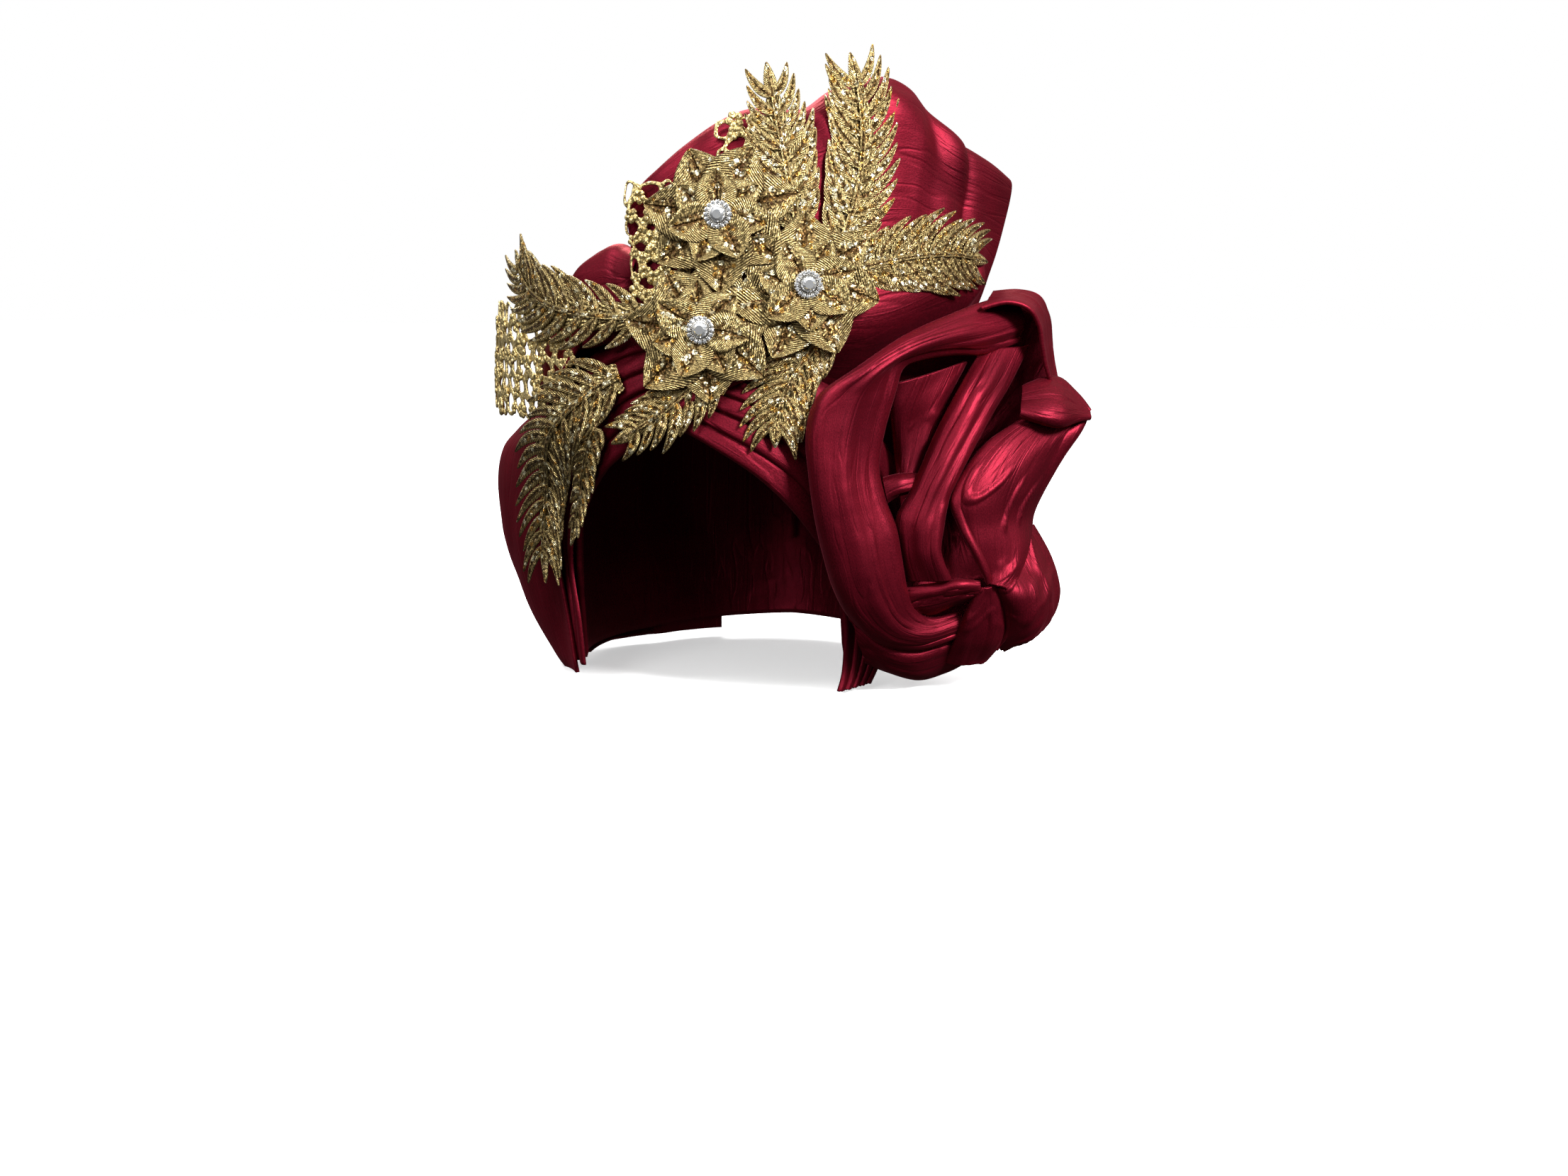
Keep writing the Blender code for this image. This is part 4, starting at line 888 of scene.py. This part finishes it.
# %% [markdown]
# ## Blades of lace
#
# Every leaf of the spray is a feather of narrow blades, and every petal is one broad blade. So one
# helper makes a blade: a small grid along a path on the unrolled cylinder, with its own width,
# crown and raised edge. The wall and a rounding are added once the whole leaf is together.

# %% A blade on the wrap


def blade(form, lace_map, path, half, profile, lift, crown, steps=(9, 6), edge=0.0):
    """Grid along a path in flat places; profile gives its half width from 0 to 1."""
    made = bmesh.ops.create_grid(form, x_segments=steps[1], y_segments=steps[0], size=1, calc_uvs=True)
    for vert, (t, share) in zip(made["verts"], grid_shares(steps)):
        q = share * 2 - 1
        here, ahead = path(t), path(min(t + 0.04, 1.04))
        forward = (ahead - here).normalized()
        beside = Vector((-forward.y, forward.x))
        spot = here + beside * q * half * profile(t)
        height = lift(t) + crown * (1 - q * q) + edge * max(0.0, 1 - ((abs(q) - 0.82) / 0.18) ** 2)
        vert.co = rolled(spot.x, spot.y, height)
    for face in {face for vert in made["verts"] for face in vert.link_faces}:
        for loop in face.loops:
            share = loop[lace_map].uv
            loop[lace_map].uv = (share.y, share.x)


def lay_lace(item, area, flat, rests_on):
    """Print a piece of lace's area as a share of its flat size."""
    min(round(area, 5), flat[0] * flat[1])
    print(item.name, "flat", [round(side, 3) for side in flat], "share", round(area / flat[0] / flat[1], 2))


def bent(start, middle, end):
    """Path through three flat places, as a quadratic curve."""
    return lambda t: start.lerp(middle, t).lerp(middle.lerp(end, t), t)


def leaf_profile(t):
    return max(sin(pi * min(max(t, 0.0), 1.0) ** 0.75), 0.0) ** 0.75 * (1 - 0.25 * t) + 0.04


def web_profile(t):
    """Toothed ground of a leaf, which fills the space between its blades near the spine."""
    teeth = 0.86 + 0.14 * sin(t * 70)
    return teeth * (0.55 + 0.45 * sin(pi * min(t * 1.4 + 0.15, 1.0) * 0.5)) * (1 - t ** 3) + 0.03


def spine_profile(t):
    return 1 - 0.6 * t


# %% [markdown]
# ## Leaves
#
# A spine bends from its root to its tip, and blades leave it in pairs, longest at a third of the
# way. Each blade is turned forwards and bends on towards the tip. Neighbours sit at slightly
# different heights, so that they overlap as stitched ones do, and the dark silk shows between them.

# %% Leaves
# Bearing and height of root, bend and tip, half width as a share of LEAF_HALF_WIDTH, blades a
# side, and lift as a share of LACE_LIFT
LEAF_HALF_WIDTH, BLADE_HALF_WIDTH, SPINE_HALF_WIDTH = 0.021, 0.0031, 0.0016
LEAVES = table([
    (23, 38, 20, 66, 15.8, 103.5, 80, 9, 1.1), (31, 30, 39, 66, 32.4, 108, 98, 11, 0.9),
    (36, 22, 53, 32, 70.5, 25, 100, 10, -0.5), (30, -2, 20, -16, 20, -32, 86, 8, 1.0),
    (9, -8, 2, -23, -11.7, -32.5, 72, 8, 2.8), (-7, 2, -40, 0, -45.4, 27.5, 95, 12, 1.1),
    (-12, -15, -42, -33, -38.3, -74, 110, 15, 1.3), (-17, -29, -22, -42, -27.9, -62, 42, 8, 1.0),
], 0, 2, 4, 7, 8)
LEAF_BASES = ["silk_top_fan"] * 3 + ["silk_band_left"] * 2 + ["silk_side_drape"] * 3


def make_leaf(number, leaf):
    root, middle, tip = (flat_place(leaf[i], leaf[i + 1]) for i in (0, 2, 4))
    spine = bent(root, middle, tip)
    width, pairs, lift = leaf[6] * LEAF_HALF_WIDTH, leaf[7], LACE_LIFT * leaf[8]
    form = bmesh.new()
    lace_map = form.loops.layers.uv.new("lace")
    for pair in range(pairs):
        share = 0.02 + 0.93 * pair / pairs
        here, ahead = spine(share), spine(share + 0.05)
        forward = (ahead - here).normalized()
        body = (0.50 + 0.50 * sin(pi * min(share * 1.3 + 0.25, 1.0) * 0.5)) * (1 - 0.62 * share ** 1.6)
        for side in (-1, 1):
            wander = noise.noise(Vector((number * 3.1, pair * 1.9, side)))
            beside = Vector((-forward.y, forward.x)) * side
            reach = width * body * (1.38 + 0.28 * wander)
            end = here + (beside * 0.72 + forward * (0.86 + 0.3 * share)) * reach
            way = bent(here, here + (beside * 0.52 + forward * 0.30) * reach, end)
            half = BLADE_HALF_WIDTH + 0.0005 * wander - 0.0008 * share
            rise = lift + 0.00028 * (pair % 3) + 0.0002 * side
            blade(form, lace_map, way, half, leaf_profile, lambda t, r=rise: r + 0.0010 * t * (1 - t), 0.0007,
                  edge=0.00035)
    last = bent(spine(0.86), spine(0.94), spine(1.0) + (spine(1.0) - spine(0.94)).normalized() * 0.003)
    blade(form, lace_map, last, 0.0030, leaf_profile, lambda t: lift + 0.0006, 0.0006)
    blade(form, lace_map, spine, width * 0.44, web_profile, lambda t: lift - 0.0003, 0.0004, (40, 14))
    blade(form, lace_map, spine, SPINE_HALF_WIDTH, spine_profile, lambda t: lift + 0.0010, 0.0006, (24, 4))
    area = sum(face.calc_area() for face in form.faces)
    name = f"lace_leaf_{number}"
    item = piece_of(name, form, LEAF_LACE, LEAF_THREAD, [f"leaf_{number}"], subdivide=1)
    lay_lace(item, area, (2.2 * width, 1.05 * (tip - root).length), LEAF_BASES[number - 1])


for number, leaf in enumerate(LEAVES, start=1):
    make_leaf(number, leaf)

# %% [markdown]
# ## Flowers and their stones
#
# Each flower is two rounds of satin-stitched petals, the inner one smaller and turned by half a
# petal. Petals are cupped and lap over each other, so each round steps its petals up a little. In
# the middle sits a cut stone in a ring of small ones.

# %% Flowers
FLOWERS = [("upper", 7.7, 0.44, 15), ("right", 24.8, 0.155, 40), ("lower", 5.3, -0.02, 70)]
PETAL_REACH, PETALS, PETAL_HALF_WIDTH, INNER_HALF_WIDTH = 0.029, 7, 0.0128, 0.0086


def petal_profile(t):
    held = min(max(t, 0.0), 1.0)
    return max(sin(pi * held ** 0.85), 0.0) ** (0.50 + 0.38 * held) + 0.02


def make_flower(name, bearing, height, turn, reach, half, lift, rise, solid, rests_on):
    centre = flat_place(bearing, height)
    form = bmesh.new()
    lace_map = form.loops.layers.uv.new("lace")
    for petal in range(PETALS):
        angle = radians(turn + 360 * petal / PETALS + 6 * noise.noise(Vector((turn, petal * 1.3, 0.5))))
        forward = Vector((cos(angle), sin(angle)))
        beside = Vector((-forward.y, forward.x))
        span = reach * (1 + 0.10 * noise.noise(Vector((petal * 2.7, turn, 3.3))))
        bow = centre + forward * span * 0.5 + beside * 0.0015
        way = bent(centre + forward * 0.001, bow, centre + forward * span)
        step = lift + 0.0005 * (petal % 2) + 0.00012 * petal
        blade(form, lace_map, way, half, petal_profile,
              lambda t, s=step: s + rise * t ** 1.6 + 0.0008 * sin(pi * t), -0.0006, (16, 12), 0.0006)
    area = sum(face.calc_area() for face in form.faces)
    item = piece_of("lace_" + name, form, PETAL_LACE, PETAL_THREAD, [solid], subdivide=1)
    lay_lace(item, area, (2 * reach, 2 * reach), rests_on)


# Cut stones: radius and depth of the middle one and of the small ones, and the ring these sit on
STONE_RADIUS, STONE_DEPTH, SMALL_RADIUS, SMALL_DEPTH = 0.0034, 0.0026, 0.00094, 0.0010
HALO_RING, HALO_STONES, CUP_RADIUS, BEAD_RADIUS = 0.0051, 16, 0.0060, 0.00033


def make_stone(name, bearing, height, lift):
    """Round brilliant and its halo of small stones, with the cup under both."""
    spot = flat_place(bearing, height)
    centre = rolled(spot.x, spot.y, lift)
    outward = (rolled(spot.x, spot.y, lift + 0.01) - centre).normalized()
    turned = outward.to_track_quat("Z", "Y").to_matrix().to_4x4()
    seat = Matrix.Translation(centre) @ turned

    def brilliant(form, at, radius, depth, sides):
        """Cut stone: a girdle, a crown of facets and a flat table."""
        levels = [(0.80, -0.30), (1.0, 0.0), (0.86, 0.42), (0.56, 0.72)]
        rings = []
        for share, rise in levels:
            place = seat @ Matrix.Translation(at + Vector((0, 0, rise * depth)))
            place = place @ Matrix.Rotation(pi / sides * (len(rings) % 2), 4, "Z")
            made = bmesh.ops.create_circle(form, cap_ends=False, radius=radius * share, segments=sides,
                                           matrix=place)
            rings.append(made["verts"])
        for low, high in zip(rings, rings[1:]):
            edges = {edge for vert in low + high for edge in vert.link_edges if len(edge.link_faces) < 2}
            bmesh.ops.bridge_loops(form, edges=[edge for edge in edges
                                                if all(vert in low for vert in edge.verts)
                                                or all(vert in high for vert in edge.verts)])
        for ring in (rings[0], rings[-1]):
            bmesh.ops.contextual_create(form, geom=ring)

    form = bmesh.new()
    brilliant(form, Vector((0, 0, 0.0016)), STONE_RADIUS, STONE_DEPTH, 12)
    for small in range(HALO_STONES):
        angle = 2 * pi * small / HALO_STONES
        at = Vector((cos(angle) * HALO_RING, sin(angle) * HALO_RING, 0.0011))
        brilliant(form, at, SMALL_RADIUS, SMALL_DEPTH, 6)
    bmesh.ops.recalc_face_normals(form, faces=form.faces)
    item = piece_of("cut_stone_" + name, form, STONE, 0, ["stone_" + name], smooth=False)
    form = bmesh.new()
    bmesh.ops.create_cone(form, cap_ends=True, segments=32, radius1=CUP_RADIUS, radius2=0.0056, depth=0.0011,
                          matrix=seat @ Matrix.Translation((0, 0, 0.0004)))
    rim = [edge for edge in form.edges if not edge.is_boundary and edge.calc_face_angle(0) > 0.8]
    bmesh.ops.bevel(form, geom=rim, offset=0.0002, segments=2, profile=0.5, affect="EDGES", material=-1)
    for small in range(32):
        angle = 2 * pi * (small + 0.5) / 32
        for ring in (0.0041, 0.0059):
            bead = seat @ Matrix.Translation((cos(angle) * ring, sin(angle) * ring, 0.0012))
            bmesh.ops.create_icosphere(form, subdivisions=1, radius=BEAD_RADIUS, matrix=bead)
    piece_of("stone_cup_" + name, form, CUP, 0, ["stone_" + name])


for name, bearing, height, turn in FLOWERS:
    base = "silk_band_left" if name == "lower" else "silk_top_fan"
    make_flower("flower_" + name, bearing, height, turn, PETAL_REACH * 1.10, PETAL_HALF_WIDTH,
                FLOWER_LIFT, 0.0008, "flower_" + name, base)
    inner_lift = FLOWER_LIFT + LACE_WALL + SEAT_GAP + 0.0006
    make_flower("inner_" + name, bearing, height, turn + 25, PETAL_REACH * 0.70, INNER_HALF_WIDTH,
                inner_lift, 0.0018, "flower_" + name + "_inner", "lace_flower_" + name)
    make_stone(name, bearing, height, inner_lift + 0.0016)
print("flowers:", len(FLOWERS))

# %% [markdown]
# ## Net between the leaves
#
# The ground of the lace is an open net of buttonholed cords with small sequined dots on it. Six-sided
# faces share their edges, an inset leaves a cord round each, and taking out the middles opens the
# holes. A rounding makes the holes nearly round, as drawn thread is.

# %% Nets
NETS = [("net_left", -69, 0.02, -27, -0.27, 6), ("net_fan", -12, 0.54, -3, 0.06, 3),
        ("net_top", 7.5, 0.80, 17, 0.64, 0)]
NET_CELL, NET_STRAND, NET_LIFT, NET_SWAY = 0.0105, 0.0031, -0.0006, 0.0038
DOT_SIZE, DOT_SPREAD = 0.0033, 0.0022


def make_net(name, left_bearing, top_height, right_bearing, bottom_height, shift):
    left, top = flat_place(left_bearing, top_height)
    right, bottom = flat_place(right_bearing, bottom_height)
    lean = radians(shift) * WRAP_RADIUS / (top - bottom)
    pitch = NET_CELL * cos(radians(30))
    columns, rows = int((right - left) / pitch), int((top - bottom) / (0.75 * NET_CELL))
    form = bmesh.new()
    for row in range(rows + 1):
        for column in range(columns + 1):
            at = Vector((left + pitch * (column + 0.5 * (row % 2)), top - 0.75 * NET_CELL * row, 0))
            place = Matrix.Translation(at)
            bmesh.ops.create_circle(form, cap_ends=True, radius=NET_CELL / 2, segments=6, matrix=place)
    bmesh.ops.remove_doubles(form, verts=form.verts, dist=0.0003)
    cells = list(form.faces)
    joints = [vert.co.copy() for vert in form.verts if len(vert.link_edges) == 3]
    bmesh.ops.inset_individual(form, faces=cells, thickness=NET_STRAND / 2, use_even_offset=True)
    bmesh.ops.delete(form, geom=cells, context="FACES_ONLY")
    bmesh.ops.subdivide_edges(form, edges=form.edges, cuts=1, use_grid_fill=True)
    for vert in form.verts:
        sway = Vector((noise.noise(vert.co * 110), noise.noise(vert.co * 110 + Vector((9, 9, 9))), 0))
        spot = vert.co + sway * NET_SWAY
        vert.co = rolled(spot.x + lean * (top - spot.y), spot.y, NET_LIFT)
    bmesh.ops.recalc_face_normals(form, faces=form.faces)
    area = sum(face.calc_area() for face in form.faces)
    item = piece_of("lace_" + name, form, NET_LACE, NET_THREAD, [name], subdivide=1)
    lay_lace(item, area, (right - left + NET_CELL, top - bottom + NET_CELL / 2),
             "silk_side_drape" if name == "net_left" else "silk_top_fan")
    dots = bmesh.new()
    for index, spot in enumerate(joints):
        if noise.noise(spot * 310) < -0.02:
            continue
        at = rolled(spot.x + lean * (top - spot.y), spot.y, NET_LIFT + 0.0003)
        outward = (rolled(spot.x, spot.y, 0.01) - rolled(spot.x, spot.y, 0)).normalized()
        place = Matrix.Translation(at) @ outward.to_track_quat("Z", "Y").to_matrix().to_4x4()
        size = DOT_SIZE + DOT_SPREAD * noise.noise(spot * 97)
        for leaf in range(5):
            angle = 2 * pi * leaf / 5 + index
            lobe = place @ Matrix.Translation((cos(angle) * size * 0.62, sin(angle) * size * 0.62, 0.0002))
            lobe = lobe @ Matrix.Diagonal((1, 1, 0.55, 1))
            bmesh.ops.create_icosphere(dots, subdivisions=1, radius=size * 0.62, matrix=lobe)
    piece_of("dots_" + name, dots, NET_LACE, 0, [name], subdivide=1)
    print("dots on", name, len(joints))


for net in NETS:
    make_net(*net)
